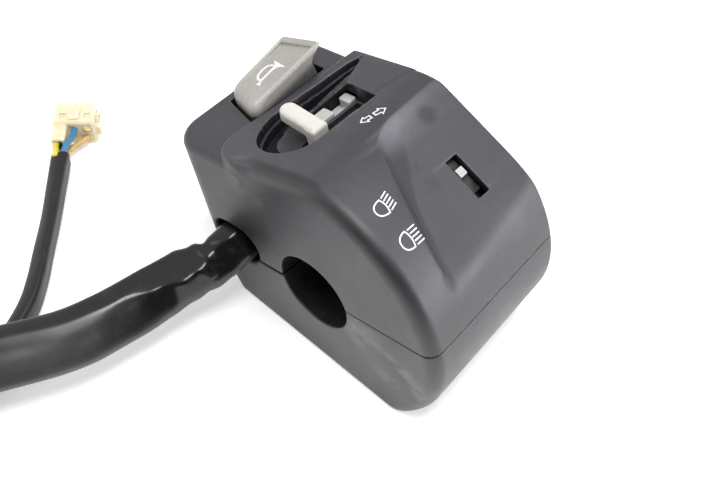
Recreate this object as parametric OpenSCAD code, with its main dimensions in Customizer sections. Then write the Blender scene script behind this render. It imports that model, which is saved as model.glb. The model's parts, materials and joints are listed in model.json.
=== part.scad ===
// Handlebar switch cluster: a two-part housing clamped on a bar, with a horn
// key, a turn slider, a dimmer slider and a sleeved lead with a connector.
// X runs along the bar, Z is up, the thumb side faces -Y.
// The origin is on the bar's axis at the middle of the clamp.

/* [Housing] */
// Radius of the clamp bore
bore_r = 11.1; // [10.9:0.05:11.3]
// Radius of the turned front at its near end
front_r = 39.6; // [39:0.1:40]
// Radius of the turned front at its far end
front_r_far = 36.4; // [36:0.1:37]
// Height of the horn facet above the split
horn_facet_h = 31.5; // [31.2:0.1:32]
// Angle of the split plane to the table
seat_tilt = 15; // [14:0.5:16]
// Height of the bar's axis above the table
seat_h = 25.6; // [25:0.1:26]
// Gap between the two halves
split_gap = 0.2; // [0.1:0.05:0.3]

/* [Horn key] */
// Width of the key
horn_w = 11.4; // [11:0.1:11.6]
// Height of the key's far end above the split
horn_top = 38.7; // [38.5:0.1:39.5]

/* [Turn switch] */
// Width of the tongue
lever_w = 5.6; // [5:0.1:6]
// Reach of the tongue behind its stem
lever_reach = 11.5; // [10:0.5:12]
// Travel of the carriage
turn_travel = 9; // [8:0.5:9]

/* [Dimmer switch] */
// Length of the dimmer slot
dimmer_slot_l = 11.4; // [11:0.1:12]
// Width of the dimmer slot
dimmer_slot_w = 3.7; // [3.4:0.1:4]
// Side of the square pin
dimmer_pin = 2.3; // [2:0.1:2.6]

/* [Fasteners] */
// Radius of the clamp screws
screw_r = 2; // [1.9:0.05:2.1]
// Radius of the clamp screws' heads
screw_head_r = 3.4; // [3.2:0.1:3.5]

/* [Cable] */
// Diameter of the sleeve
sheath_d = 10; // [9.5:0.1:10]
// Diameter of a lead wire
wire_d = 1.8; // [1.5:0.1:1.8]

/* [Connector] */
// Length of the connector
conn_l = 10; // [10:0.5:12]
// Width of the connector
conn_w = 11.6; // [11.4:0.1:12]
// Height of the connector
conn_h = 8.8; // [8.6:0.1:9.4]

/* [Hidden] */
$fn = 48;

half = 24;
wall = 2.4;
tunnel_r = 13.7;
rear_y = 43;
near_round = 4;
key_y = 27.9;
horn_y = 34.7;
pivot = [-3.6, 27.4];
slope = 36.16;
floor_n = 32.6;
slot_at = [11, -24, 22.8];
plate_z = 26.5;
base_z = 25;
detent_y = 13.45;
rear_screw = [9, 27];
front_screw = [-9, -27];

// Split-frame to table frame
module on_bar() rotate([-seat_tilt, 0, 0]) children();
// Extrusion along the bar of a (y, z) outline
module along_x(a, b) translate([a, 0, 0]) rotate([90, 0, 90]) linear_extrude(b - a) children();
// Frame of the scoop's floor: x along the bar, y up the slope, z outwards
module on_floor() translate([0, -floor_n * sin(slope), floor_n * cos(slope)]) rotate([slope, 0, 0]) children();
module at_dimmer() translate(slot_at) rotate([slope, 0, 0]) children();
// Cylinder along the bar
module bar_cyl(r, a, b) translate([a, 0, 0]) rotate([0, 90, 0]) cylinder(r = r, h = b - a, $fn = 96);
// Cylinder across the bar
module cross_cyl(r, x, z, a, b) translate([x, a, z]) rotate([-90, 0, 0]) cylinder(r = r, h = b - a);

// Front turned about the bar, with a rounded near edge
module turned_front(inset) rotate([0, 90, 0]) rotate_extrude($fn = 128)
    polygon(concat([[0, -half + inset]],
        [for (a = [0:15:90]) [front_r - inset - near_round * (1 - sin(a)), -half + inset + near_round * (1 - cos(a))]],
        [[front_r_far - inset + 0.1, half - inset - 1.2], [front_r_far - inset - 1.1, half - inset], [0, half - inset]]));

module column(x, y, r, z0, z1) {
    translate([x, y, z0]) cylinder(r = r, h = z1 - 2.4 - z0, $fn = 32);
    translate([x, y, z1 - 1]) cylinder(r = r - 0.7, h = 0.4, $fn = 32);
    translate([x, y, z1 - 0.1]) cylinder(r = r - 2, h = 0.1, $fn = 32);
}
module ball(x, y, r, plane_z) translate([x, y, plane_z - 0.154 * y - r]) sphere(r = r, $fn = 24);

module upper_outer() difference() {
    union() {
        intersection() {
            turned_front(0);
            along_x(-half, half) polygon([[18, -1], [18, 34.3], [-8, 38.3], [-46, 44.1], [-46, -1]]);
        }
        hull() {
            column(-half + 9, rear_y - 9, 9, -1, horn_facet_h);
            column(half - 3, rear_y - 3, 3, -1, horn_facet_h);
            column(-half + 4, 12, 4, -1, horn_facet_h);
            column(half - 3, 12, 3, -1, horn_facet_h);
        }
        hull() {
            ball(-19.8, 19.8, 4, 37.1);
            ball(-12.6, 25.2, 0.8, 37.1);
            ball(22.9, 21, 0.8, 37.1);
            ball(22.9, 0, 0.8, 37);
            ball(-19.8, 0, 4, 37.1);
            for (p = [[-20, 19.8, 3.9], [22.9, 20, 0.8], [22.9, 0, 0.8], [-20, 0, 3.9]])
                translate([p[0], p[1], 12]) cylinder(r = p[2], h = 1, $fn = 24);
        }
    }
    translate([-50, -70, -70 + split_gap / 2]) cube([100, 140, 70]);
}

// Thumb scoop, open at the far end; w thickens it for the wall underneath
module scoop(w) on_floor() intersection() {
    union() {
        translate([-40, -60, -w]) cube([80, 120, 60]);
        translate([0, -13.5, -w]) rotate([10.2, 0, 0]) translate([-40, -60, 0]) cube([80, 60, 60]);
    }
    translate([-4.43 - 1.3 * w, 0, 0]) rotate([0, 0, -19.3]) rotate([0, -33.7, 0]) translate([0, -60, -60]) cube([80, 120, 120]);
    translate([1 - w, 14 + 1.2 * w, 0]) rotate([0, 0, 12]) rotate([-35, 0, 0]) translate([-80, -80, -60]) cube([160, 80, 120]);
}

// Outline of the turn recess seen along the split's normal
module recess_outline(grow) {
    translate([-7.9, 12.1]) circle(r = 9.4 + grow);
    polygon([[-7.9, 21.5 + grow], [-4.5, 22.8 + grow], [1, 22.5 + grow], [12.2, 21.1 + grow], [22, 18.9 + grow],
        [22, 18.2], [12.2 + grow, 14], [13.2 + grow, 2.7 - grow], [-7.9, 2.7 - grow]]);
}

module upper_cavity() difference() {
    union() {
        intersection() {
            turned_front(wall);
            along_x(-half + wall, half - wall) polygon([[18, -1], [18, 31.8], [-8, 35.8], [-46, 41.6], [-46, -1]]);
        }
        translate([-half + wall, 10, -1]) cube([2 * half - 2 * wall, 10.5, 1 + 31.2]);
        difference() {
            translate([-half + wall, 10, -1]) cube([2 * half - 2 * wall, rear_y - wall - 10, 1 + horn_facet_h - wall]);
            translate([-half + wall, rear_y - wall, -2]) rotate([0, 0, 45]) translate([-4, -4, 0]) cube([8, 8, 60]);
        }
    }
    scoop(wall);
    translate([0, 0, 29.3]) linear_extrude(20) recess_outline(1.8);
    bar_cyl(tunnel_r, -half, half);
}

module cable_mouth() {
    for (y = [25.5, 30.5]) translate([-half - 1, y, 3]) rotate([0, 90, 0]) cylinder(r = 5.6, h = 5);
    translate([-half - 1, 25.5, -2.6]) cube([5, 5, 11.2]);
}

module upper_housing() color("#3a3b40") on_bar() difference() {
    union() {
        difference() { upper_outer(); upper_cavity(); }
        // Bosses for the inserts
        for (p = [rear_screw, front_screw]) translate([p[0], p[1], split_gap / 2]) cylinder(r = 4.8, h = 12);
        // Webs that tie the bosses to the wall round the bar
        for (p = [rear_screw, front_screw]) translate([p[0] - 1.5, min(p[1], 0), split_gap / 2]) cube([3, abs(p[1]), 8]);
        // Posts under the turn base and the dimmer base
        for (x = [-16.5, 16.5]) translate([x, 8, 9]) cylinder(r = 2.6, h = base_z - 3.05 - 9);
        at_dimmer() for (x = [-5, 5]) translate([x, 4, -19.8]) cylinder(r = 2, h = 8.75);
        // Ears for the horn pin, and ribs under the horn base
        translate([-7, 24.2, 24.4]) cube([6.8, 3, horn_facet_h - wall - 24.4 + 0.5]);
        for (x = [3.4, 13.2]) translate([x, 35.8, 10]) cube([4, 5.4, 4.95]);
    }
    bar_cyl(bore_r, -half - 1, half + 1);
    scoop(0);
    translate([0, 0, 31.3]) linear_extrude(20) recess_outline(0);
    // Stem slot and carriage window either side of a rib, with room for the carriage below
    translate([-8.6, 2.7, 26.2]) cube([21, 7.6, 20]);
    translate([-1, 11.2, 26.2]) cube([13.2, 6.4, 20]);
    translate([-9.6, 2.7, 26.2]) cube([31.2, 13.6, 3.1]);
    translate([12, 11.2, 26.2]) cube([9.6, 4.5, 6.3]);
    at_dimmer() translate([-dimmer_slot_w / 2, -dimmer_slot_l / 2, -6]) cube([dimmer_slot_w, dimmer_slot_l, 12]);
    translate([0, 0, 25.5]) linear_extrude(20) polygon([[-8.4, key_y - 0.5], [16.8, key_y - 0.5],
        [16.4, key_y + horn_w + 0.5], [-4.9, key_y + horn_w + 0.5]]);
    cross_cyl(1.2, pivot[0], pivot[1], 24.4, rear_y - 1);
    translate([15.2, 38.4, 12]) cylinder(r = 1.05, h = 4);
    cable_mouth();
    for (p = [rear_screw, front_screw]) translate([p[0], p[1], -1]) {
        cylinder(r = 3, h = 9.8);
        cylinder(r = 2.3, h = 12);
    }
    for (x = [-16.5, 16.5]) translate([x, 8, 13]) cylinder(r = 1.05, h = 12);
    at_dimmer() for (x = [-5, 5]) translate([x, 4, -17]) cylinder(r = 0.85, h = 8);
}

module below_table_line(z) rotate([seat_tilt, 0, 0]) translate([-60, -90, z - 100]) cube([120, 180, 100]);

module lower_outer() difference() {
    union() {
        turned_front(0);
        hull() {
            for (k = [[0, 0], [-5, -17]]) {
                translate([-half + 9, rear_y - 9 + k[0], k[1] - 2]) cylinder(r = 9, h = 2, $fn = 32);
                translate([half - 3, rear_y - 3 + k[0], k[1] - 2]) cylinder(r = 3, h = 2, $fn = 32);
                translate([-half + 4, 12, k[1] - 2]) cylinder(r = 4, h = 2, $fn = 32);
                translate([half - 3, 12, k[1] - 2]) cylinder(r = 3, h = 2, $fn = 32);
            }
        }
    }
    translate([-50, -70, -split_gap / 2]) cube([100, 140, 70]);
    below_table_line(-seat_h);
}

module lower_cavity() difference() {
    union() {
        turned_front(wall);
        hull() for (k = [[0, 1], [-5, -17]]) {
            translate([-half + 9, rear_y - 9 + k[0], k[1] - 2]) cylinder(r = 9 - wall, h = 2, $fn = 32);
            translate([half - 5, rear_y - 5 + k[0], k[1] - 2]) cylinder(r = 5 - wall, h = 2, $fn = 32);
            translate([-half + 5, 14, k[1] - 2]) cylinder(r = 5 - wall, h = 2, $fn = 32);
            translate([half - 5, 14, k[1] - 2]) cylinder(r = 5 - wall, h = 2, $fn = 32);
        }
    }
    below_table_line(-seat_h + wall);
    bar_cyl(tunnel_r, -half, half);
}

module lower_housing() color("#35363b") on_bar() difference() {
    union() {
        difference() { lower_outer(); lower_cavity(); }
        intersection() {
            lower_outer();
            for (p = [rear_screw, front_screw]) translate([p[0], p[1], -40]) cylinder(r = 5.6, h = 40);
        }
    }
    bar_cyl(bore_r, -half - 1, half + 1);
    cable_mouth();
    for (p = [rear_screw, front_screw]) translate([p[0], p[1], -40]) {
        cylinder(r = screw_head_r + 0.3, h = 28);
        cylinder(r = screw_r + 0.25, h = 41);
    }
}

module clamp_screws() color("#b9bcc0") on_bar() for (p = [rear_screw, front_screw])
    translate([p[0], p[1], -12]) difference() {
        union() {
            translate([0, 0, -2.6]) cylinder(r = screw_head_r, h = 2.6);
            cylinder(r = screw_r, h = 20);
        }
        for (a = [0, 90]) rotate([0, 0, a]) translate([-2, -0.4, -2.7]) cube([4, 0.8, 1.6]);
    }

module clamp_inserts() color("#c9a24a") on_bar() for (p = [rear_screw, front_screw])
    translate([p[0], p[1], 0.6]) difference() {
        cylinder(r = 2.98, h = 8);
        translate([0, 0, -1]) cylinder(r = screw_r + 0.04, h = 10);
    }

module horn_profile() polygon([[-8, 26.2], [-8, 33.3], [-7.2, 34.7], [16.9, horn_top - 0.1], [17.4, horn_top - 0.6],
    [17.2, horn_top - 1.2], [14, 35.3], [14.9, horn_facet_h - 0.2], [14.9, 26.2]]);
module horn_hollow() polygon([[0, 25], [0, 34.1], [12.4, horn_top - 2.6], [12.2, 33.6], [13.1, 30.5], [13.1, 25]]);

module across(a, b) translate([0, b, 0]) rotate([90, 0, 0]) linear_extrude(b - a) children();

module horn_button() color("#8f8a82") on_bar() difference() {
    union() {
        difference() {
            union() {
                intersection() {
                    across(key_y, key_y + horn_w) horn_profile();
                    linear_extrude(60) polygon([[-7.9, key_y], [17.5, key_y], [15.8, key_y + horn_w], [-4.3, key_y + horn_w]]);
                }
                // Rear bearing, under the facet's edge
                translate([-5.7, key_y + horn_w - 1.9, 26.2]) cube([4, 1.9, 2.4]);
            }
            across(key_y + 1.7, key_y + horn_w - 1.7) horn_hollow();
            // Pocket inside the pivot block
            translate([-4.2, horn_y - 2.2, 20]) cube([5, 4.4, 9.6]);
        }
        // Plunger over the contacts
        translate([10.2, horn_y - 2, 24.4]) cube([2.8, 4, 11.8]);
        // Stub that keeps the spring in place
        translate([6.5, horn_y, 28.6]) cylinder(r = 1.2, h = 6.9);
    }
    cross_cyl(1.25, pivot[0], pivot[1], 20, 50);
}

module horn_hinge_pin() color("#a9adb2") on_bar() cross_cyl(1.17, pivot[0], pivot[1], 24.8, rear_y - 1.2);

// Coil about its own axis
function coil_pt(r, h, n, t) = [r * cos(360 * n * t), r * sin(360 * n * t), h * t];
module coil(r, wire, h, n, per) {
    steps = n * per;
    pts = [for (i = [0:steps]) let (t = i / steps, c = coil_pt(r, h, n, t), a = 360 * n * t)
        for (k = [0:5]) let (b = 60 * k) [c[0] + wire * cos(b) * cos(a), c[1] + wire * cos(b) * sin(a), c[2] + wire * sin(b)]];
    polyhedron(pts, concat([[5, 4, 3, 2, 1, 0]],
        [for (i = [0:steps - 1]) for (k = [0:5]) [i * 6 + k, i * 6 + (k + 1) % 6, (i + 1) * 6 + (k + 1) % 6, (i + 1) * 6 + k]],
        [[for (k = [0:5]) steps * 6 + k]]));
}

module horn_spring() color("#a9adb2") on_bar() translate([6.5, horn_y, 18.45]) coil(2.2, 0.35, 14.9, 7, 14);

module horn_contact_bar() color("#c9a24a") on_bar() translate([9.6, horn_y - 3.6, 23.5]) cube([4.8, 7.2, 0.88]);

module horn_contact_base() color("#5a4a3c") on_bar() difference() {
    union() {
        translate([2, 29.5, 15]) cube([15, 10.6, 3]);
        translate([6.5, horn_y, 17.9]) cylinder(r = 1.6, h = 2.4);
    }
    translate([15.2, 38.4, 14]) cylinder(r = 1.1, h = 6);
}

module horn_fixed_contacts() color("#c9a24a") on_bar() for (y = [horn_y - 3.4, horn_y + 1])
    translate([9.4, y, 18.02]) difference() {
        cube([3.8, 2.4, 3]);
        translate([-1, -1, 0.5]) cube([4, 5, 2]);
    }

module horn_base_screw() color("#a9adb2") on_bar() translate([15.2, 38.4, 13]) {
    cylinder(r = 1, h = 5.02);
    translate([0, 0, 5.02]) cylinder(r = 1.5, h = 1.2);
}

module turn_slider() color("#e6e4de") on_bar() difference() {
    union() {
        translate([-9.3, 3.2, plate_z]) cube([21.6, 12.8, 2.5]);
        // Spring tower and stop lug, seen in the window
        translate([0, 11.5, plate_z]) cube([4.6, 3.9, 5.6]);
        translate([9.4, 11.5, plate_z]) cube([2.8, 3.9, 5.2]);
        // Socket rim for the lever's stem
        translate([-8.2, 4, plate_z]) cube([6.4, 6, 3.6]);
    }
    translate([-7, 5, plate_z - 1]) cube([4, 4, 10]);
    translate([2.3, detent_y, plate_z - 1]) cylinder(r = 1.4, h = 5.6);
}

module turn_lever() color("#f2f1ec") on_bar() {
    translate([-6.98, 5.02, plate_z + 0.3]) cube([3.96, 3.96, 4.5]);
    translate([-4.6 - lever_w / 2, 4.4, plate_z + 3.65]) cube([lever_w, 5.4, 6.6]);
    translate([-4.6, 7, plate_z + 8.4]) rotate([9, 0, 0]) {
        translate([-lever_w / 2, -2.6, -1.9]) cube([lever_w, lever_reach, 3.8]);
        translate([0, lever_reach - 2.6, -1.9]) cylinder(r = lever_w / 2, h = 3.8);
    }
}

module turn_moving_contact() color("#c9a24a") on_bar() translate([-5.6, 9.4, plate_z - 0.62]) cube([6, 2.4, 0.6]);

module turn_detent_ball() color("#a9adb2") on_bar() translate([2.3, detent_y, plate_z - 0.1]) sphere(r = 1.3);

module turn_detent_spring() color("#a9adb2") on_bar() translate([2.3, detent_y, plate_z + 1.5]) coil(0.95, 0.2, 2.75, 4, 12);

module turn_base_plate() color("#5a4a3c") on_bar() difference() {
    translate([-20.5, 2, base_z - 3]) cube([41, 13.6, 3]);
    for (x = [-16.5, 16.5]) translate([x, 8, 20]) cylinder(r = 1.15, h = 8);
    for (i = [0:2]) translate([2.3 + i * turn_travel / 2, detent_y, base_z + 0.9]) sphere(r = 1.35);
}

module turn_fixed_contacts() color("#c9a24a") on_bar() for (x = [-6.4, -0.6, 5.2])
    translate([x, 9.5, base_z + 0.02]) cube([4.6, 2.2, 0.5]);

module turn_base_screws() color("#a9adb2") on_bar() for (x = [-16.5, 16.5]) translate([x, 8, 0]) {
    translate([0, 0, 14]) cylinder(r = 1, h = base_z - 14 + 0.02);
    translate([0, 0, base_z + 0.02]) cylinder(r = 2, h = 1);
}

module dimmer_slider() color("#efeeea") on_bar() at_dimmer() difference() {
    union() {
        translate([-4.8, -4, -5]) cube([9.6, 12, 2.2]);
        translate([-dimmer_pin / 2, 1.8 - dimmer_pin / 2, -3]) cube([dimmer_pin, dimmer_pin, 2.3]);
    }
    translate([0.6, 5, -3.9]) rotate([0, 90, 0]) cylinder(r = 0.95, h = 6);
}

module dimmer_moving_contact() color("#c9a24a") on_bar() at_dimmer() translate([-3, -3.4, -5.42]) cube([5.6, 3, 0.4]);

module dimmer_detent_ball() color("#a9adb2") on_bar() at_dimmer() translate([4.8, 5, -3.9]) sphere(r = 0.88);

module dimmer_detent_spring() color("#a9adb2") on_bar() at_dimmer() translate([0.85, 5, -3.9]) rotate([0, 90, 0]) coil(0.6, 0.15, 2.9, 4, 12);

module dimmer_base() color("#5a4a3c") on_bar() at_dimmer() difference() {
    union() {
        translate([-7.4, -9.2, -11]) cube([14.8, 17.4, 4.8]);
        translate([6.05, -9.2, -6.3]) cube([1.35, 17.4, 3]);
    }
    for (x = [-5, 5]) translate([x, 4, -12]) cylinder(r = 0.95, h = 10);
    for (x = [-5, 5]) translate([x, 4, -7.2]) cylinder(r = 1.9, h = 3);
    for (y = [0, 5]) translate([6.9, y, -3.9]) sphere(r = 1);
}

module dimmer_fixed_contacts() color("#c9a24a") on_bar() at_dimmer() for (y = [-8.8, -4.4, 0])
    translate([-2.8, y, -6.18]) cube([5.4, 2.8, 0.35]);

module dimmer_base_screws() color("#a9adb2") on_bar() at_dimmer() for (x = [-5, 5]) translate([x, 4, 0]) {
    translate([0, 0, -16.5]) cylinder(r = 0.8, h = 9.32);
    translate([0, 0, -7.18]) cylinder(r = 1.7, h = 0.9);
}

// Strap round the sleeve, just inside the mouth
module cable_strap() color("#8d9094") on_bar() translate([-19.4, 28, 3]) rotate([0, 90, 0]) difference() {
    cylinder(r = sheath_d / 2 + 1, h = 3.2);
    translate([0, 0, -1]) cylinder(r = sheath_d / 2 + 0.2, h = 6);
}

// Tube swept along route points with a smooth curve between them
function unit(v) = v / norm(v);
function knot(p, i) = p[max(0, min(len(p) - 1, i))];
function curve(p, i, t) = let (a = knot(p, i - 1), b = knot(p, i), c = knot(p, i + 1), d = knot(p, i + 2))
    0.5 * (2 * b + (c - a) * t + (2 * a - 5 * b + 4 * c - d) * t * t + (3 * b - a - 3 * c + d) * t * t * t);
function smooth(p, m) = concat([for (i = [0:len(p) - 2]) for (k = [0:m - 1]) curve(p, i, k / m)], [p[len(p) - 1]]);
module tube(route, r, sides, m) {
    q = smooth(route, m);
    n = len(q);
    pts = [for (i = [0:n - 1]) let (d = unit(q[min(n - 1, i + 1)] - q[max(0, i - 1)]),
            s = unit(cross(d, [0, 0, 1])), u = cross(s, d))
        for (k = [0:sides - 1]) let (a = 360 * (k + 0.5) / sides) q[i] + r * (cos(a) * s + sin(a) * u)];
    polyhedron(pts, concat([[for (k = [sides - 1:-1:0]) k]],
        [for (i = [0:n - 2]) for (k = [0:sides - 1]) [i * sides + k, i * sides + (k + 1) % sides, (i + 1) * sides + (k + 1) % sides, (i + 1) * sides + k]],
        [[for (k = [0:sides - 1]) (n - 1) * sides + k]]));
}

// Routes inside the housing, in the split's frame
wire_to_horn = [[-15.4, 30, 3], [-12, 30.4, 3.6], [-5, 32, 9], [-1, 32, 15], [1.6, 32, 16.4]];
wire_to_turn = [[-15.4, 27.6, 5], [-13, 26.6, 7], [-15, 21, 14], [-18, 18.6, 20], [-18, 16.4, 23.6]];
wire_to_dimmer = [[-15.4, 26.2, 2.4], [-13, 25, 4], [-11, 18, 12], [-8, 8, 17.4], [-6, -4, 18.6], [-2, -11, 17], [3.4, -15, 14.2]];
module inner_wires() color("#2c5fa8") on_bar() {
    tube(wire_to_horn, 0.9, 8, 3);
    tube(wire_to_turn, 0.9, 8, 3);
    tube(wire_to_dimmer, 0.9, 8, 3);
}

// Route of the sleeve, in the table's frame
sheath_route = [[-16.2, 28, -4.4], [-24, 27.8, -5], [-31, 28.4, -7.2], [-37, 30.6, -9], [-43, 33, -10.4],
    [-51, 35, -11.4], [-62, 37.4, -11.4], [-72, 40.4, -10.6], [-86, 48, -9.6], [-100, 56, -11], [-114, 62, -15.6],
    [-130, 66, -20], [-148, 66, -20.4], [-164, 60, -20.4], [-175, 47, -20.4], [-175.5, 31.5, -20.4], [-166, 20, -20.4],
    [-150, 17, -20.4], [-133, 23.5, -20.4], [-117, 35.5, -20.4], [-101, 46.5, -20.4], [-85.5, 54.5, -20.4], [-70, 61.6, -20.4],
    [-62, 67.2, -20.4], [-55, 73.4, -20.4], [-47, 80.6, -20.4], [-38, 89.4, -20.4], [-30.4, 96.6, -20.4]];
module cable_sheath() color("#141416") tube(sheath_route, sheath_d / 2, 10, 2);

conn_at = [-30.4, 96.6, -seat_h + 0.1];
conn_dir = 43.5;
conn_gap = 7.5;
conn_side = -3;
pitch = 3.6;
module at_conn() translate(conn_at) rotate([0, 0, conn_dir]) children();
// One lead: (a, b) is its corner in the sleeve, (c, d) its cavity in the connector
module lead(a, b, c, d) at_conn() tube([[0.7, a * 1.1, 5.2 + b * 1.1], [3, a * 1.5 + c * 0.6, 5.4 + b * 1.4],
    [5.4, conn_side * 0.8 + c * pitch * 0.95, 4.7 + d * 1.8], [conn_gap - 0.4, conn_side + c * pitch, conn_h / 2 + d * 1.7]], wire_d / 2, 8, 3);
module lead_blue() color("#3f78c8") lead(-1, 1, 0, 1);
module lead_green() color("#4f8f3c") lead(1, -1, 1, -1);
module lead_yellow() color("#d9c23a") lead(1, 1, 1, 1);
module lead_orange() color("#d07a2c") lead(-1, -1, -1, -1);

module cavities() for (c = [-1:1]) for (d = [-1, 1]) translate([0, conn_side + c * pitch, conn_h / 2 + d * 1.7]) rotate([0, 90, 0]) children();
module connector_housing() color("#e9e4d2") at_conn() translate([conn_gap, 0, 0]) difference() {
    union() {
        translate([0, conn_side - conn_w / 2, 0]) cube([conn_l, conn_w, conn_h]);
        // Latch arm on one side
        translate([2.6, conn_side - conn_w / 2 - 1.8, 3]) cube([6, 1.9, 3.4]);
        translate([3, conn_side - 1.5, conn_h - 0.1]) cube([5, 3, 1.2]);
    }
    cavities() translate([0, 0, 2]) cylinder(r = 1.45, h = conn_l);
}

module connector_terminals() color("#c9a24a") at_conn() translate([conn_gap, 0, 0]) cavities() difference() {
    translate([0, 0, 2.05]) cylinder(r = 1.25, h = conn_l - 3.6);
    translate([0, 0, 4]) cylinder(r = 0.85, h = 10);
}

upper_housing();
lower_housing();
clamp_screws();
clamp_inserts();
horn_button();
horn_hinge_pin();
horn_spring();
horn_contact_bar();
horn_contact_base();
horn_fixed_contacts();
horn_base_screw();
turn_slider();
turn_lever();
turn_moving_contact();
turn_detent_ball();
turn_detent_spring();
turn_base_plate();
turn_fixed_contacts();
turn_base_screws();
dimmer_slider();
dimmer_moving_contact();
dimmer_detent_ball();
dimmer_detent_spring();
dimmer_base();
dimmer_fixed_contacts();
dimmer_base_screws();
cable_strap();
inner_wires();
cable_sheath();
lead_blue();
lead_green();
lead_yellow();
lead_orange();
connector_housing();
connector_terminals();
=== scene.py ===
import json
import math

import bmesh
import bpy
import numpy as np
from mathutils import Matrix, Vector


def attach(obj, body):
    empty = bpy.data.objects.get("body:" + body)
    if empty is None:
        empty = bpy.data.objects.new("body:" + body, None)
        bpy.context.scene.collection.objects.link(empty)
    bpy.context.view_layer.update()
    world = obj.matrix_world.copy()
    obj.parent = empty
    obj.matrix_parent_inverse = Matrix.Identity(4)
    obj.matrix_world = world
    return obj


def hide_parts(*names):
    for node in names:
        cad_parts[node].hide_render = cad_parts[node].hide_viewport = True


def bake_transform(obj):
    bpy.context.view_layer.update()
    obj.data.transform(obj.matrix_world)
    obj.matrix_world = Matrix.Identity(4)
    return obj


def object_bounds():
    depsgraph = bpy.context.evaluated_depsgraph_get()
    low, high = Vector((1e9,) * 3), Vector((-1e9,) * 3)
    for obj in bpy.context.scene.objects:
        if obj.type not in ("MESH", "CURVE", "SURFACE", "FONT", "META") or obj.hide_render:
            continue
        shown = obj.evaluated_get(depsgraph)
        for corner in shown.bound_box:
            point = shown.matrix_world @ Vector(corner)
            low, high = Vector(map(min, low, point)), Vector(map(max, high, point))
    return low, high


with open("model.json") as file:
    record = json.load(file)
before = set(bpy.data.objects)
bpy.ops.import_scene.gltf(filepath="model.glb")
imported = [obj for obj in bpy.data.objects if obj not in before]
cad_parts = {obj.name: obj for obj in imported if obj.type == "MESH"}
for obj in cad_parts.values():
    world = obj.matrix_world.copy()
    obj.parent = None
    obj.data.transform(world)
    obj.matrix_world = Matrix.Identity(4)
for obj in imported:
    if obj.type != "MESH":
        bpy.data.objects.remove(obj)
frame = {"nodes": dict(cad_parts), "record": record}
CAD_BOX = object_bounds()
NODE = frame["nodes"]
MM = 0.001
FINE = 0.36   # cell of the housing meshes, in mm

# ---------------------------------------------------------------- camera, floor and light
cam_data = bpy.data.cameras.new("view")
cam_data.lens, cam_data.sensor_width, cam_data.sensor_fit = 60.0, 36.0, "HORIZONTAL"
cam_data.clip_start, cam_data.clip_end = 0.01, 20.0
cam = bpy.data.objects.new("view", cam_data)
bpy.context.scene.collection.objects.link(cam)
right, up, back = Vector((0.6814, -0.7319, 0.0)), Vector((0.5892, 0.5485, 0.5933)), Vector((-0.4342, -0.4043, 0.8050))
rot = Matrix((right, up, back)).transposed().to_4x4()
cam.matrix_world = Matrix.Translation((-0.13613, -0.12002, 0.24415)) @ rot
bpy.context.scene.camera = cam


def link(ob):
    bpy.context.scene.collection.objects.link(ob)
    return ob


# ---------------------------------------------------------------- material helpers
class Nodes:
    """A material's tree: add() makes a node with its inputs set or linked."""

    def __init__(self, name):
        self.mat = bpy.data.materials.new(name)
        self.mat.use_nodes = True
        self.t = self.mat.node_tree
        self.t.nodes.clear()
        self.out = self.t.nodes.new("ShaderNodeOutputMaterial")
        self.bsdf = self.t.nodes.new("ShaderNodeBsdfPrincipled")
        self.t.links.new(self.bsdf.outputs[0], self.out.inputs[0])

    def add(self, kind, props=None, **inputs):
        n = self.t.nodes.new("ShaderNode" + kind)
        for k, v in (props or {}).items():
            setattr(n, k, v)
        for k, v in inputs.items():
            self.put(n, k.replace("_", " "), v)
        return n

    def put(self, n, key, v):
        s = n.inputs[int(key[1:])] if key[0] == "#" else n.inputs[key]
        if isinstance(v, bpy.types.NodeSocket):
            self.t.links.new(v, s)
        elif isinstance(v, bpy.types.Node):
            self.t.links.new(v.outputs[0], s)
        else:
            s.default_value = v

    def math(self, op, a, b=0.0, c=0.0, clamp=False):
        n = self.t.nodes.new("ShaderNodeMath")
        n.operation, n.use_clamp = op, clamp
        for i, v in enumerate((a, b, c)):
            self.put(n, "#%d" % i, v)
        return n.outputs[0]

    def noise(self, vec, scale, detail=3.0, rough=0.55, stretch=None):
        if stretch is not None:
            vec = self.add("Mapping", Vector=vec, Scale=stretch).outputs[0]
        return self.add("TexNoise", Vector=vec, Scale=scale, Detail=detail, Roughness=rough).outputs["Fac"]

    def ramp(self, fac, stops, mode="LINEAR"):
        n = self.t.nodes.new("ShaderNodeValToRGB")
        n.color_ramp.interpolation = mode
        el = n.color_ramp.elements
        while len(el) < len(stops):
            el.new(0.5)
        for e, (p, c) in zip(el, stops):
            e.position = p
            e.color = (c, c, c, 1) if isinstance(c, (int, float)) else (*c, 1)
        self.t.links.new(fac, n.inputs[0])
        return n.outputs[0]

    def mix(self, fac, a, b, blend="MIX"):
        n = self.t.nodes.new("ShaderNodeMix")
        n.data_type, n.blend_type = "RGBA", blend
        for s, v in ((n.inputs[0], fac), (n.inputs[6], a), (n.inputs[7], b)):
            if isinstance(v, bpy.types.NodeSocket):
                self.t.links.new(v, s)
            else:
                s.default_value = (*v, 1) if isinstance(v, tuple) and len(v) == 3 else v
        return n.outputs[2]

    def remap(self, v, a, b, c, d):
        n = self.add("MapRange", {"clamp": True})
        for i, x in enumerate((v, a, b, c, d)):
            self.put(n, "#%d" % i, x)
        return n.outputs[0]

    def bump(self, height, strength, distance, normal=None):
        n = self.add("Bump", Strength=strength, Distance=distance, Height=height)
        if normal is not None:
            self.put(n, "Normal", normal)
        return n.outputs[0]

    def set(self, **inputs):
        for k, v in inputs.items():
            self.put(self.bsdf, k.replace("_", " "), v)
        return self

    def spot(self):
        return self.add("TexCoord").outputs["Object"]

    def attr(self, name):
        return self.add("Attribute", {"attribute_name": name}).outputs["Fac"]


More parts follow.
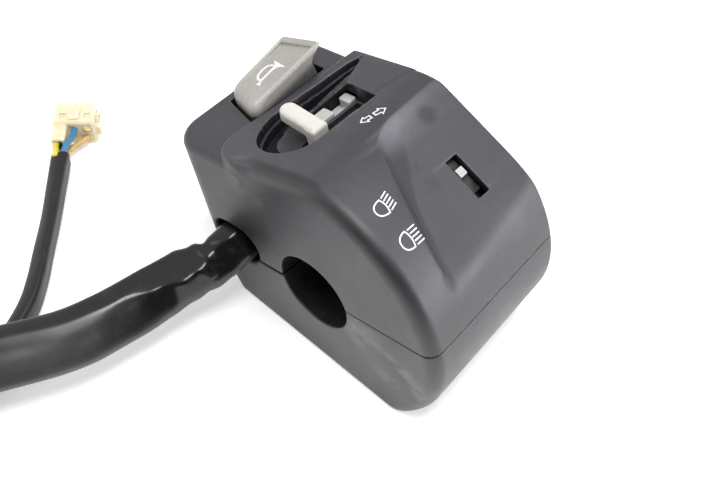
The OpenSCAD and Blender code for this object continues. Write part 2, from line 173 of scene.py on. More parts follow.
def moulded(name, dark, light, rough=(0.40, 0.52), grain=0.35, edge=None, smudge=0.0, scale=1.0, tone=None, deep=None):
    """Moulded plastic: a fine spark-eroded grain, uneven tone and gloss, edges painted paler (part rubbed wear, part
    painted highlight), and painted shade deep inside.
    """
    m = Nodes(name)
    p = m.spot()
    broad = m.noise(p, 45 * scale, 4, 0.6)
    fine = m.noise(p, 900 * scale, 3, 0.6)
    col = m.mix(m.remap(broad, 0.35, 0.68, 0.0, 1.0), dark, light)
    col = m.mix(m.remap(fine, 0.3, 0.75, 0.0, 0.16), col, tuple(min(1.0, c * 1.9) for c in light))
    r = m.remap(m.noise(p, 70 * scale, 5, 0.65), 0.3, 0.7, rough[0], rough[1])
    if smudge:
        rub = m.noise(p, 150 * scale, 6, 0.7, (1.0, 0.35, 0.35))
        mark = m.remap(rub, 0.60, 0.74, 0.0, smudge)
        col = m.mix(mark, col, tuple(min(1.0, c * 2.4) for c in light))
        r = m.math("ADD", r, m.math("MULTIPLY", mark, 0.18))
    # edges painted paler: part rubbed wear, part painted highlight
    if edge is not None:
        edge_wear_and_highlight = m.math("MULTIPLY", m.remap(m.attr("edge"), 0.25, 0.9, 0.0, 1.0), m.remap(m.noise(p, 260 * scale, 4, 0.6), 0.25, 0.6, 0.45, 1.0))
        col = m.mix(edge_wear_and_highlight, col, edge)
    if tone is not None:
        col = tone(m, p, col)
    # painted shade in hollows: a darker colour and dimmer reflections the deeper a point lies
    if deep is not None:
        shade = m.math("MULTIPLY", m.attr("deep"), m.remap(m.noise(p, 300 * scale, 3), 0.3, 0.7, 0.86, 1.0))
        col = m.mix(shade, col, deep)
        r = m.math("ADD", r, m.math("MULTIPLY", shade, 0.2))
        m.set(Specular_IOR_Level=m.remap(shade, 0.0, 1.0, 0.5, 0.08))
    cell = m.add("TexVoronoi", {"feature": "F1"}, Vector=p, Scale=3400 * scale).outputs["Distance"]
    pit = m.noise(p, 2300 * scale, 2, 0.5)
    b = m.bump(m.math("ADD", m.math("MULTIPLY", cell, 0.6), pit), grain, 0.00005)
    m.set(Base_Color=col, Roughness=r, Normal=b, IOR=1.5)
    return m


def metal(name, colour, rough=0.32, lines=(400, 400, 9000), tint=0.75):
    m = Nodes(name)
    p = m.spot()
    streak = m.noise(p, 1.0, 4, 0.6, lines)
    spots = m.noise(p, 420, 4, 0.6)
    col = m.mix(m.remap(spots, 0.4, 0.75, 0.0, 0.6), colour, tuple(c * tint for c in colour))
    m.set(Base_Color=col, Metallic=1.0, Roughness=m.remap(streak, 0.25, 0.75, rough * 0.75, rough * 1.35), Normal=m.bump(streak, 0.12, 0.00003))
    return m


def dress(ob, m):
    ob.data.materials.clear()
    ob.data.materials.append(m.mat)
    return ob


# ---------------------------------------------------------------- meshes from distance fields
def rmax(a, b, r):
    return np.minimum(np.maximum(a, b), -r) + np.sqrt(np.maximum(a + r, 0.0) ** 2 + np.maximum(b + r, 0.0) ** 2)


def rmin(a, b, r):
    return -rmax(-a, -b, r)


def smax(a, b, k):
    h = np.maximum(k - np.abs(a - b), 0.0) / k
    return np.maximum(a, b) + h * h * k * 0.25


def step(t, a, b):
    t = np.clip((t - a) / (b - a), 0.0, 1.0)
    return t * t * (3.0 - 2.0 * t)


def rbox(x, y, z, lo, hi, r=0.0):
    qx = np.abs(x - (lo[0] + hi[0]) / 2) - (hi[0] - lo[0]) / 2 + r
    qy = np.abs(y - (lo[1] + hi[1]) / 2) - (hi[1] - lo[1]) / 2 + r
    qz = np.abs(z - (lo[2] + hi[2]) / 2) - (hi[2] - lo[2]) / 2 + r
    out = np.sqrt(np.maximum(qx, 0) ** 2 + np.maximum(qy, 0) ** 2 + np.maximum(qz, 0) ** 2)
    return out + np.minimum(np.maximum(qx, np.maximum(qy, qz)), 0.0) - r


def post(x, y, z, px, py, r, z0, z1):
    return np.maximum(np.sqrt((x - px) ** 2 + (y - py) ** 2) - r, np.maximum(z0 - z, z - z1))


CORNERS = np.array([[i, j, k] for i in (0, 1) for j in (0, 1) for k in (0, 1)])
EDGES = [(0, 1), (2, 3), (4, 5), (6, 7), (0, 2), (1, 3), (4, 6), (5, 7), (0, 4), (1, 5), (2, 6), (3, 7)]


def nets(f, lo, hi, h):
    """Quads on the zero surface of f, one vertex for each cell that it crosses."""
    lo = np.asarray(lo, float)
    n = np.ceil((np.asarray(hi, float) - lo) / h).astype(int) + 1
    ax = [lo[i] + h * np.arange(n[i]) for i in range(3)]
    d = np.empty(n, np.float32)
    for i in range(0, n[0], 12):
        d[i:i + 12] = f(ax[0][i:i + 12, None, None], ax[1][None, :, None], ax[2][None, None, :])
    s = d < 0
    tot = np.zeros(n - 1, np.int8)
    for c in CORNERS:
        tot += s[c[0]:n[0] - 1 + c[0], c[1]:n[1] - 1 + c[1], c[2]:n[2] - 1 + c[2]]
    act = (tot > 0) & (tot < 8)
    cell = np.argwhere(act)
    vid = np.full(act.shape, -1, np.int64)
    vid[act] = np.arange(len(cell))
    val = np.stack([d[cell[:, 0] + c[0], cell[:, 1] + c[1], cell[:, 2] + c[2]] for c in CORNERS], 1)
    acc, cnt = np.zeros((len(cell), 3)), np.zeros(len(cell))
    for a, b in EDGES:
        va, vb = val[:, a], val[:, b]
        m = (va < 0) != (vb < 0)
        t = np.where(m, va / np.where(m, va - vb, 1.0), 0.0)
        acc += np.where(m[:, None], CORNERS[a] + (CORNERS[b] - CORNERS[a]) * t[:, None], 0.0)
        cnt += m
    v = lo + h * (cell + acc / cnt[:, None])
    quads = []
    for k in range(3):
        i, j = (k + 1) % 3, (k + 2) % 3
        a = np.moveaxis(s, k, 0)
        flip = a[:-1] != a[1:]
        e = np.argwhere(np.moveaxis(flip, 0, k))
        ok = (e[:, i] > 0) & (e[:, j] > 0) & (e[:, i] < n[i] - 1) & (e[:, j] < n[j] - 1)
        e = e[ok]
        ring = []
        for di, dj in ((-1, -1), (0, -1), (0, 0), (-1, 0)):
            c = e.copy()
            c[:, i] += di
            c[:, j] += dj
            ring.append(vid[c[:, 0], c[:, 1], c[:, 2]])
        q = np.stack(ring, 1)
        inside = s[e[:, 0], e[:, 1], e[:, 2]]
        q[~inside] = q[~inside][:, ::-1]
        quads.append(q)
    return v, np.concatenate(quads)


def slope(f, v, e):
    g = np.empty_like(v)
    for k in range(3):
        a, b = v.copy(), v.copy()
        a[:, k] += e
        b[:, k] -= e
        g[:, k] = (f(*a.T) - f(*b.T)) / (2 * e)
    return g


def settle(f, v, h, steps=3):
    """Moves vertices onto the zero surface of f."""
    for _ in range(steps):
        g = slope(f, v, 0.02)
        gg = np.maximum((g * g).sum(1), 0.15)
        v = v - np.clip(f(*v.T) / gg, -0.35 * h, 0.35 * h)[:, None] * g
    return v


def bend_of(f, v, e):
    """How sharply f's surface turns at v: over 0 on outer edges, under 0 in corners."""
    mid, tot = f(*v.T), 0.0
    for k in range(3):
        for s in (e, -e):
            a = v.copy()
            a[:, k] += s
            tot = tot + f(*a.T)
    return (tot - 6 * mid) / (e * e)


def raw_mesh(name, v, faces):
    me = bpy.data.meshes.new(name)
    m = faces.shape[1]
    me.vertices.add(len(v))
    me.vertices.foreach_set("co", np.asarray(v, np.float32).ravel())
    me.loops.add(faces.size)
    me.loops.foreach_set("vertex_index", faces.astype(np.int32).ravel())
    me.polygons.add(len(faces))
    me.polygons.foreach_set("loop_start", np.arange(0, faces.size, m, dtype=np.int32))
    me.update(calc_edges=True)
    me.validate()
    return me


def solid(name, f, lo, hi, h, place, thin=None, wear=0.3, skin_of=None, ledges=None, band_of=None, sheen_of=None):
    """A piece whose surface is f = 0 in mm; place() takes its points to the row frame in metres.
    skin_of is the shape before its openings are cut, and "deep" tells how far inside it a point lies, which sets the
    painted shade in hollows; what faces up above the height ledges gets less of that painted shade."""
    v, q = nets(f, lo, hi, h)
    v = settle(f, v, h)
    me = raw_mesh(name, v, q)
    ob = link(bpy.data.objects.new(name, me))
    if thin is not None and len(q) * 2 > thin:
        turn = np.abs(bend_of(f, v, 0.5 * h))
        keep = 1.0 - np.clip(turn * 1.2, 0.0, 1.0)
        grp = ob.vertex_groups.new(name="flat")
        for w in range(11):
            ids = np.nonzero(np.round(keep * 10).astype(int) == w)[0]
            if w and len(ids):
                grp.add(ids.tolist(), w / 10, "REPLACE")
        mod = ob.modifiers.new("thin", "DECIMATE")
        mod.ratio, mod.use_collapse_triangulate = thin / (len(q) * 2), True
        mod.vertex_group, mod.vertex_group_factor = "flat", 4.0
        dg = bpy.context.evaluated_depsgraph_get()
        new = bpy.data.meshes.new_from_object(ob.evaluated_get(dg))
        ob.modifiers.clear()
        ob.vertex_groups.clear()
        ob.data = new
        bpy.data.meshes.remove(me)
        me = new
        me.name = name
        v = np.empty(len(me.vertices) * 3, np.float32)
        me.vertices.foreach_get("co", v)
        v = settle(f, v.reshape(-1, 3).astype(float), h, 2)
    g = slope(f, v, 0.04)
    g /= np.maximum(np.linalg.norm(g, axis=1), 1e-6)[:, None]
    # edge: how sharply the surface turns outward, which sets the edges painted paler, part wear and part painted
    # highlight
    edge = np.clip(bend_of(f, v, 0.3) * wear, 0.0, 1.0)
    me.vertices.foreach_set("co", place(v).astype(np.float32).ravel())
    me.update()
    me.polygons.foreach_set("use_smooth", np.ones(len(me.polygons), bool))
    me.normals_split_custom_set_from_vertices((place(g) - place(np.zeros((1, 3)))).astype(np.float32) / MM)
    me.attributes.new("edge", "FLOAT", "POINT").data.foreach_set("value", edge.astype(np.float32))
    if band_of is not None:
        me.attributes.new("band", "FLOAT", "POINT").data.foreach_set("value", band_of(v, g).astype(np.float32))
    if sheen_of is not None:
        me.attributes.new("sheen", "FLOAT", "POINT").data.foreach_set("value", sheen_of(v).astype(np.float32))
    # painted shade: the deep attribute darkens hollows, less so on faces turned up above the ledges
    if skin_of is not None:
        deep = np.clip((-skin_of(*v.T) - 0.15) / 0.6, 0.0, 1.0)
        if ledges is not None:
            deep *= 1.0 - 0.6 * step(g[:, 2], 0.75, 0.95) * step(v[:, 2], ledges, ledges + 0.4)
        me.attributes.new("deep", "FLOAT", "POINT").data.foreach_set("value", deep.astype(np.float32))
    return ob


TILT = math.radians(15.0)
CT, ST = math.cos(TILT), math.sin(TILT)


def row(p):
    """The split's frame in mm to the row frame in metres."""
    p = np.asarray(p, float)
    return np.stack([p[..., 0], p[..., 1] * CT + p[..., 2] * ST, -p[..., 1] * ST + p[..., 2] * CT], -1) * MM

# ---------------------------------------------------------------- the sleeved lead
ROUTE = np.array([
    (-16.2, 28, -4.4), (-24, 27.8, -5), (-31, 28.4, -7.2), (-37, 30.6, -9), (-43, 33, -10.4),
    (-51, 35, -11.4), (-62, 37.4, -11.4), (-72, 40.4, -10.6), (-86, 48, -9.6), (-100, 56, -11), (-114, 62, -15.6),
    (-130, 66, -20), (-148, 66, -20.4), (-164, 60, -20.4), (-175, 47, -20.4), (-175.5, 31.5, -20.4), (-166, 20, -20.4),
    (-150, 17, -20.4), (-133, 23.5, -20.4), (-117, 35.5, -20.4), (-101, 46.5, -20.4), (-85.5, 54.5, -20.4), (-70, 61.6, -20.4),
    (-62, 67.2, -20.4), (-55, 73.4, -20.4), (-47, 80.6, -20.4), (-38, 89.4, -20.4), (-30.4, 96.6, -20.4)], float)


def smooth(p, m):
    """Catmull-Rom points, m to each stretch, and each point's place along the list."""
    n, out, par = len(p), [], []
    for i in range(n - 1):
        a, b, c, d = p[max(0, i - 1)], p[i], p[i + 1], p[min(n - 1, i + 2)]
        for k in range(m):
            t = k / m
            out.append(0.5 * (2 * b + (c - a) * t + (2 * a - 5 * b + 4 * c - d) * t * t + (3 * b - a - 3 * c + d) * t ** 3))
            par.append(i + t)
    return np.array(out + [p[-1]]), np.array(par + [n - 1.0])


def keyed(u, table):
    """Rows of table, eased between their first numbers."""
    t = np.array(table, float)
    i = np.clip(np.searchsorted(t[:, 0], u, "right") - 1, 0, len(t) - 2)
    w = np.clip((u - t[i, 0]) / (t[i + 1, 0] - t[i, 0]), 0, 1)
    w = (w * w * (3 - 2 * w))[:, None]
    return t[i, 1:] * (1 - w) + t[i + 1, 1:] * w


def frames(q):
    d = np.gradient(q, axis=0)
    d /= np.linalg.norm(d, axis=1)[:, None]
    s = np.cross(d, [0, 0, 1.0])
    s /= np.linalg.norm(s, axis=1)[:, None]
    return d, s, np.cross(s, d)


def hull3(row9, n, p):
    """A soft closed outline round three discs (a, b, r), evenly spaced."""
    psi = np.linspace(0, 2 * np.pi, 720, endpoint=False)
    c, s = np.cos(psi), np.sin(psi)
    cen = row9.reshape(3, 3)
    mid = cen[:, :2].mean(0)
    h = [(a - mid[0]) * c + (b - mid[1]) * s + r for a, b, r in cen]
    base = min(x.min() for x in h)
    off = 1.0 - min(0.0, base)
    w = (sum((x + off) ** p for x in h) / 1.0) ** (1 / p) - off
    dw = (np.roll(w, -1) - np.roll(w, 1)) / (psi[2] - psi[0])
    pt = np.stack([w * c - dw * s, w * s + dw * c], 1) + mid
    seg = np.linalg.norm(np.diff(np.vstack([pt, pt[:1]]), axis=0), axis=1)
    at = np.concatenate([[0], np.cumsum(seg)])
    want = np.linspace(0, at[-1], n, endpoint=False)
    ring = np.vstack([pt, pt[:1]])
    return np.stack([np.interp(want, at, ring[:, k]) for k in (0, 1)], 1)


# Section keys: place on the route, then (side, height, radius) of its back, ridge and front corners
SECTION = [
    (0.0, 3.2, 1.2, 2.6, 0.0, 2.4, 2.4, -3.0, -1.4, 2.6),
    (1.0, 3.2, 1.8, 2.6, 0.4, 3.0, 2.0, -2.8, -2.0, 2.8),
    (1.8, 3.4, 2.4, 2.0, 1.2, 2.6, 1.6, -2.4, -2.5, 2.5),
    (2.6, 4.6, 2.4, 2.2, -1.4, 2.6, 1.2, -2.4, -2.6, 2.2),
    (3.4, 5.4, 2.3, 2.4, -2.3, 3.0, 1.1, -2.9, -2.7, 2.1),
    (4.4, 5.6, 2.2, 2.3, -0.4, 3.2, 1.0, -3.7, -2.7, 2.1),
    (5.4, 5.7, 2.2, 2.1, 1.8, 3.3, 1.0, -4.4, -2.5, 2.1),
    (6.6, 6.1, 2.2, 1.8, 2.3, 3.5, 0.9, -5.2, -2.5, 2.0),
    (8.0, 6.2, 1.9, 1.6, 2.2, 3.9, 0.5, -6.3, -2.3, 1.8),
    (9.2, 5.8, 1.8, 1.6, 2.0, 3.8, 0.5, -6.5, -1.9, 1.8),
    (11.0, 3.6, -0.6, 3.2, 0.0, 1.6, 2.4, -3.6, -0.8, 3.2),
    (17.5, 3.4, -1.6, 3.1, 0.4, 0.6, 2.6, -3.4, -1.6, 3.1),
    (20.0, 1.2, -0.4, 1.8, 0.6, 1.8, 1.6, -1.6, -2.2, 2.2),
    (21.5, 1.1, 1.6, 1.3, -0.9, 0.2, 1.7, 0.2, -3.0, 2.1),
    (24.0, 1.1, 1.6, 1.3, -0.9, 0.0, 1.7, 0.2, -3.0, 2.1),
    (26.4, 1.2, 0.9, 1.4, -0.9, -0.4, 1.8, 0.2, -2.7, 2.3),
    (27.0, 1.2, 0.7, 1.5, -1.0, -0.6, 1.8, 0.1, -2.6, 2.3)]
PER = 10
RINGS, PLACE = smooth(ROUTE, PER)
SIDES = 72
_, SIDE, UPW = frames(RINGS)
secs = keyed(PLACE, SECTION)
arc = np.concatenate([[0], np.cumsum(np.linalg.norm(np.diff(RINGS, axis=0), axis=1))])
rng = np.random.default_rng(7)
waves = [(rng.uniform(0.05, 0.35), rng.uniform(0, 6.28), int(rng.integers(1, 5)), rng.uniform(0, 6.28)) for _ in range(14)]
skin, centre, prev = [], [], None
for i in range(len(RINGS)):
    o = hull3(secs[i], SIDES, 24.0)
    if prev is not None:   # keeps the seam in step with the ring before
        k = min(range(SIDES), key=lambda j: ((np.roll(o, -j, 0) - prev) ** 2).sum())
        o = np.roll(o, -k, 0)
    prev = o
    mid = o.mean(0)
    rad = o - mid
    ln = np.linalg.norm(rad, axis=1)
    ang = np.arctan2(rad[:, 1], rad[:, 0])
    wob = sum(math.sin(2 * math.pi * f * arc[i] / 10 + a) * np.sin(m * ang + b) for f, a, m, b in waves) / len(waves)
    fold = 0.55 * math.exp(-((PLACE[i] - 2.2) / 0.9) ** 2) * np.sin(arc[i] * 1.1 + 2.2 * ang)
    dent = -0.9 * math.exp(-((PLACE[i] - 4.0) / 0.5) ** 2) * np.exp(-((ang - 0.9) / 0.45) ** 2)
    lift = (0.55 * wob + 0.35 * fold + dent) * np.minimum(1.0, ln / 3.0)
    o2 = mid + rad * (1 + lift / np.maximum(ln, 0.5))[:, None]
    floor = (-25.5 - RINGS[i][2]) / max(UPW[i][2], 0.5)
    o2[:, 1] = np.maximum(o2[:, 1], floor)
    skin.append(RINGS[i] + o2[:, :1] * SIDE[i] + o2[:, 1:] * UPW[i])
    centre.append(skin[-1].mean(0))
skin, centre = np.array(skin), np.array(centre)
# the cut ends turn in, so that the sleeve shows its wall
for end, inward in ((0, 1), (-1, -1)):
    c = skin[end].mean(0)
    d = RINGS[1] - RINGS[0] if end == 0 else RINGS[-2] - RINGS[-1]
    d = d / np.linalg.norm(d)
    more = [c + (skin[end] - c) * (1 - k) + d * s for k, s in ((0.05, -0.12), (0.16, -0.10), (0.24, 0.15), (0.26, 3.0))]
    skin = np.concatenate([np.array(more[::-1]), skin]) if end == 0 else np.concatenate([skin, np.array(more)])
nr = len(skin)
idx = np.arange(nr * SIDES).reshape(nr, SIDES)
nxt = np.roll(idx, -1, 1)
tube = np.stack([idx[:-1], nxt[:-1], nxt[1:], idx[1:]], -1).reshape(-1, 4)
verts = np.concatenate([skin.reshape(-1, 3), [skin[0].mean(0), skin[-1].mean(0)]])
caps = np.concatenate([np.stack([nxt[0], idx[0], np.full(SIDES, nr * SIDES)], 1), np.stack([idx[-1], nxt[-1], np.full(SIDES, nr * SIDES + 1)], 1)])
me = bpy.data.meshes.new("sleeve")
me.from_pydata((verts * MM).tolist(), [], [list(map(int, t)) for t in tube] + [list(map(int, t)) for t in caps])
me.validate()
me.polygons.foreach_set("use_smooth", np.ones(len(me.polygons), bool))
sleeve = link(bpy.data.objects.new("sleeve", me))
along = np.concatenate([np.zeros(4), PLACE, np.full(4, PLACE[-1])])
dull = np.concatenate([np.repeat(step(along, 4.6, 8.2), SIDES), [0.0, 1.0]])
me.attributes.new("dull", "FLOAT", "POINT").data.foreach_set("value", dull.astype(np.float32))
# painted reflection: the side turned to the table is painted paler, for the floor it reflects, as far as the lead lies
# clear of its own loop
heart = np.concatenate([np.repeat(skin.mean(1)[:, 2], SIDES), [0.0, 0.0]])
under = step(heart - verts[:, 2], 0.2, 2.4) * np.concatenate([np.repeat(1.0 - step(along, 10.0, 13.0), SIDES), [0.0, 0.0]])
me.attributes.new("under", "FLOAT", "POINT").data.foreach_set("value", under.astype(np.float32))


# ---------------------------------------------------------------- housing shapes, in the split's frame in mm
SA, CA = math.sin(math.radians(36.16)), math.cos(math.radians(36.16))


def poly2(x, y, pts):
    """Signed distance to a closed outline in two axes."""
    d, inside = 1e9, False
    for (ax, ay), (bx, by) in zip(pts, pts[1:] + pts[:1]):
        ex, ey = bx - ax, by - ay
        wx, wy = x - ax, y - ay
        t = np.clip((wx * ex + wy * ey) / (ex * ex + ey * ey), 0.0, 1.0)
        d = np.minimum(d, (wx - ex * t) ** 2 + (wy - ey * t) ** 2)
        if ey:
            cross = ((y >= ay) != (y >= by)) & (x < ax + ex * (y - ay) / ey)
            inside = inside ^ cross
    return np.where(inside, -1.0, 1.0) * np.sqrt(d)


def dim(x, y, z):
    """The beam slider's frame: across, up the slope, out of the slope."""
    return x - 11.0, (y + 24.0) * CA + (z - 22.8) * SA, -(y + 24.0) * SA + (z - 22.8) * CA


def outside(x, y, z):
    cone = (np.sqrt(y * y + z * z) - (38 - x / 15)) * 0.9978
    near, far = -24.0 - x, x - 24.0
    top = (z - 37.1 + 0.154 * y) * 0.9883
    front = smax(cone, top + 0.2 * step(x, -6, 8), 1.0)
    front = rmax(rmax(front, near, 4.0), far, 1.3)
    front = np.maximum(front, y - 18)
    rear = (x + 11) * 0.1207 + (y - 26.7) * 0.9927
    plan = rmax(rear, near, 10.0)
    lip = 2.7 - 2.4 * np.clip((x - 11) / 13, 0, 1) - y
    crown = top + step(x, 6, 24) * (0.55 - 0.075 * y)
    hood = rmax(rmax(rmax(plan, crown, 0.6 + 3.4 * step(-y, -20, -12)), far, 1.0), lip, 1.2)
    block = rmax(rmax(y - 43, near, 9.0), far, 3.0)
    block = np.maximum(rmax(block, z - 31.5, 1.5), 10 - y)
    return np.maximum(rmin(np.minimum(front, hood), block, 0.5), np.maximum(near, far))


def scoop_sides(x, y, z):
    yf, zf = y * CA + z * SA, -y * SA + z * CA - 32.6
    low = -13.5 - yf
    base = zf + 0.09 * (low + np.sqrt(low * low + 9.0))
    side = 0.785 * (x + 4.43) - 0.2752 * yf + 0.555 * zf
    head = 0.170 * (x - 1) - 0.801 * (yf - 14) + 0.574 * zf
    return yf, base, side, head


def scoop(x, y, z):
    yf, base, side, head = scoop_sides(x, y, z)
    return rmax(rmax(-base, -side, 1.2 + 3.8 * step(yf, -6.0, 12.0)), -head, 3.6)


def scooped(x, y, z):
    """The outside with its thumb scoop: a crisp side, and a rounded ridge along the foot."""
    yf, zf = y * CA + z * SA, -y * SA + z * CA - 32.6
    return rmax(outside(x, y, z), -scoop(x, y, z), 0.5 + 0.7 * step(-yf, 8.0, 17.0) * step(-zf, -1.6, -0.2) * (1.0 - 0.4 * step(x, 8.0, 20.0)))


WELL = [(-12.6, 20.24), (-9.5, 21.75), (-6.2, 22.6), (-3.0, 22.85), (1.0, 22.5), (12.2, 21.1), (18.4, 19.9), (23.3, 18.3), (12.2, 14.0), (10.9, 2.3), (-7.9, 2.7)]


def well(x, y):
    return np.minimum(np.sqrt((x + 7.9) ** 2 + (y - 12.1) ** 2) - 9.4, poly2(x, y, WELL))


def recess(x, y, z):
    """The turn recess: a ledge under its rear rim, then a groove, then a ramp that the carriage's window is cut in."""
    w = well(x, y)
    rise = np.maximum(x - 13.0, 0.0)
    edge = np.interp(x, [-3.0, 0.0, 15.0, 23.3], [18.4, 18.2, 16.1, 18.2]) - y
    ramp = 0.25 * np.clip(x, 0.0, 14.0) * step(y, 11.4, 12.4)
    ledge = 0.045 * np.clip(x, 0.0, 10.0) + 0.14 * np.maximum(x - 10.0, 0.0)
    upper = np.maximum(w, 31.1 + np.where(edge > -1.0, ramp, ledge) - z)
    behind = np.minimum(edge, np.maximum(-(w + 4.2), x + 3.0))
    groove = np.maximum(np.maximum(w + 0.7, 28.6 + 0.5 * rise - z), np.maximum(behind, 9.5 - y))
    window = np.maximum(rbox(x, y, z, (-1, 11.2, 26.2), (12.1, 21, 44), 0.3), y - np.interp(x, [-1.0, 12.6], [17.5, 14.4]))
    return np.minimum(np.minimum(upper, groove), window)


KEYHOLE = [(-7.8, 28.3), (16.0, 28.3), (15.6, 39.0), (-5.0, 39.0)]


def mouth(x, y, z):
    return np.maximum(np.sqrt(np.maximum(np.abs(y - 28) - 2.5, 0) ** 2 + (z - 3) ** 2) - 5.6, x + 20)


def parting(y, x):
    """Half the gap at the split, wider on the end face between the lead and the bore."""
    return 0.18 + 0.30 * step(y, 8, 12) * step(-y, -24, -20) * step(-x, 21, 23)


def upper_half(x, y, z):
    out, sc = outside(x, y, z), scoop(x, y, z)
    rad = np.sqrt(y * y + z * z)
    b = scooped(x, y, z)
    b = rmax(b, parting(y, x) - z, 0.25)
    b = rmax(b, -recess(x, y, z), 0.25)
    b = rmax(b, -rbox(x, y, z, (-8.6, 2.7, 26.2), (11.0, 10.3, 40), 0.3), 0.2)
    b = np.maximum(b, -rbox(x, y, z, (-9.6, 2.7, 26.2), (21.6, 16.3, 29.3)))
    b = np.maximum(b, -rbox(x, y, z, (-1, 11.2, 26.2), (21.6, 15.7, 32.5)))
    b = rmax(b, -np.maximum(poly2(x, y, KEYHOLE) - 0.8, 25.5 - z), 0.3)
    xd, yd, zd = dim(x, y, z)
    b = rmax(b, -rbox(xd, yd, zd, (-1.85, -5.7, -6), (1.85, 5.7, 6), 0.15), 0.18)
    cave = np.maximum(np.maximum(out + 2.4, 2.4 - sc), 13.7 - rad)
    cave = np.maximum(cave, -np.maximum(well(x, y) - 1.8, 29.3 - 2.2 * np.maximum(step(y, 16.3, 16.6), step(-x, 9.7, 10.0)) - z))
    b = rmax(b, -cave, 0.2)
    for px, py in ((9, 27), (-9, -27)):
        b = np.minimum(b, np.maximum(post(x, y, z, px, py, 4.8, 0.1, 12.1), out + 1))
        b = np.minimum(b, np.maximum(rbox(x, y, z, (px - 1.5, min(py, 0), 0.2), (px + 1.5, max(py, 0), 8.1)), 13 - rad))
        b = np.maximum(b, -post(x, y, z, px, py, 3.0, -1, 8.8))
        b = np.maximum(b, -post(x, y, z, px, py, 2.3, -1, 11))
    for px in (-16.5, 16.5):
        b = np.minimum(b, np.maximum(post(x, y, z, px, 8, 2.6, 9, 21.95), 13 - rad))
        b = np.maximum(b, -post(x, y, z, px, 8, 1.05, 13, 23))
    for px in (-5, 5):
        b = np.minimum(b, np.maximum(post(xd, yd, zd, px, 4, 2.0, -19.8, -11.05), 13 - rad))
        b = np.maximum(b, -post(xd, yd, zd, px, 4, 0.85, -17, -10))
    b = np.minimum(b, rbox(x, y, z, (-7, 24.2, 24.4), (-0.2, 27.2, 29.6), 0.4))
    for x0, x1 in ((3.4, 7.4), (13.2, 17.2)):
        b = np.minimum(b, rbox(x, y, z, (x0, 35.8, 10), (x1, 41.2, 14.95), 0.3))
    b = np.maximum(b, -post(x, y, z, 15.2, 38.4, 1.05, 12, 16))
    pin = np.maximum(np.sqrt((x + 3.6) ** 2 + (z - 27.4) ** 2) - 1.2, np.maximum(24.4 - y, y - 42))
    b = np.maximum(b, -pin)
    b = rmax(b, -mouth(x, y, z), 1.2)
    return rmax(b, 11.1 - rad, 0.3)


def lower_skin(x, y, z):
    near, far = -24.0 - x, x - 24.0
    cone = rmax(rmax((np.sqrt(y * y + z * z) - (38 - x / 15)) * 0.9978, near, 4.0), far, 1.3)
    tail = rmax(rmax((y - 43 - 0.294 * z) * 0.9594, near, 9.0), far, 3.0)
    tail = np.maximum(rmax(tail, -19 - z, 2.0), 10 - y)
    out = np.maximum(rmin(cone, tail, 1.5), np.maximum(near, far))
    return rmax(out, -25.6 - (-y * ST + z * CT), 1.0)


def lower_half(x, y, z):
    rad = np.sqrt(y * y + z * z)
    out = lower_skin(x, y, z)
    b = rmax(out, z + parting(y, x), 0.25)
    cave = np.maximum(out + 2.4, 13.7 - rad)
    b = rmax(b, -cave, 0.2)
    for px, py in ((9, 27), (-9, -27)):
        b = np.minimum(b, np.maximum(np.maximum(np.sqrt((x - px) ** 2 + (y - py) ** 2) - 5.6, out), z + 0.1))
        b = rmax(b, -np.maximum(np.sqrt((x - px) ** 2 + (y - py) ** 2) - 3.7, z + 12), 0.3)
        b = np.maximum(b, -(np.sqrt((x - px) ** 2 + (y - py) ** 2) - 2.25))
    b = rmax(b, -mouth(x, y, z), 1.2)
    return rmax(b, 11.1 - rad, 0.3)


def key_top(x, y, z):
    return (z - 34.69 - 0.159 * (x + 7.98)) * 0.9876


def key(x, y, z):
    """The horn key: a wedge, wider at its far end, dished on top and undercut below its far lip."""
    side = np.maximum(27.9 - y, y - 39.3 - 0.9 * np.clip((x + 2.0) / 18.0, 0.0, 1.0) * step(z, 32.6, 34.6))
    top = key_top(x, y, z)
    near = (0.2544 * (y - 27.9) - (x + 7.9)) * 0.9691
    far = (x - 18.5 + 0.23 * (y - 27.9)) * 0.9745
    under = rmin(0.5547 * (x - 14.0) - 0.832 * (z - 35.3), (x - 14.0 + 0.225 * (z - 35.3)) * 0.9756, 1.0)
    b = rmax(rmax(near, side, 2.4), top, 1.2 + 1.2 * step(-x, 1.0, 6.0))
    b = rmax(rmax(b, rmax(far, under, 0.5), 1.0), 26.2 - z, 0.3)
    b = np.minimum(b, rbox(x, y, z, (-5.7, 37.4, 26.2), (-1.7, 39.3, 28.6), 0.3))
    depth = 1.7 * np.clip((x + 3.0) / 18.5, 0.0, 1.0) * (1.0 - 0.35 * step(x, 10.5, 16.0))
    dish = rmax(rmax(-(top + depth), side + 1.35, 0.6), far + 2.3, 0.6)
    b = rmax(b, -dish, 0.6)
    low = rbox(x, y, z, (0.0, 29.6, 20), (13.1, 37.6, 60), 0.5)
    b = np.maximum(b, -np.maximum(low, top + 3.2))
    b = np.maximum(b, -rbox(x, y, z, (-4.2, 32.5, 20), (0.8, 36.9, 29.6)))
    b = np.minimum(b, rbox(x, y, z, (10.2, 32.7, 24.4), (13.0, 36.7, 35.6), 0.3))
    b = np.minimum(b, post(x, y, z, 6.5, 34.7, 1.2, 28.6, 34.8))
    return np.maximum(b, 1.25 - np.sqrt((x + 3.6) ** 2 + (z - 27.4) ** 2))


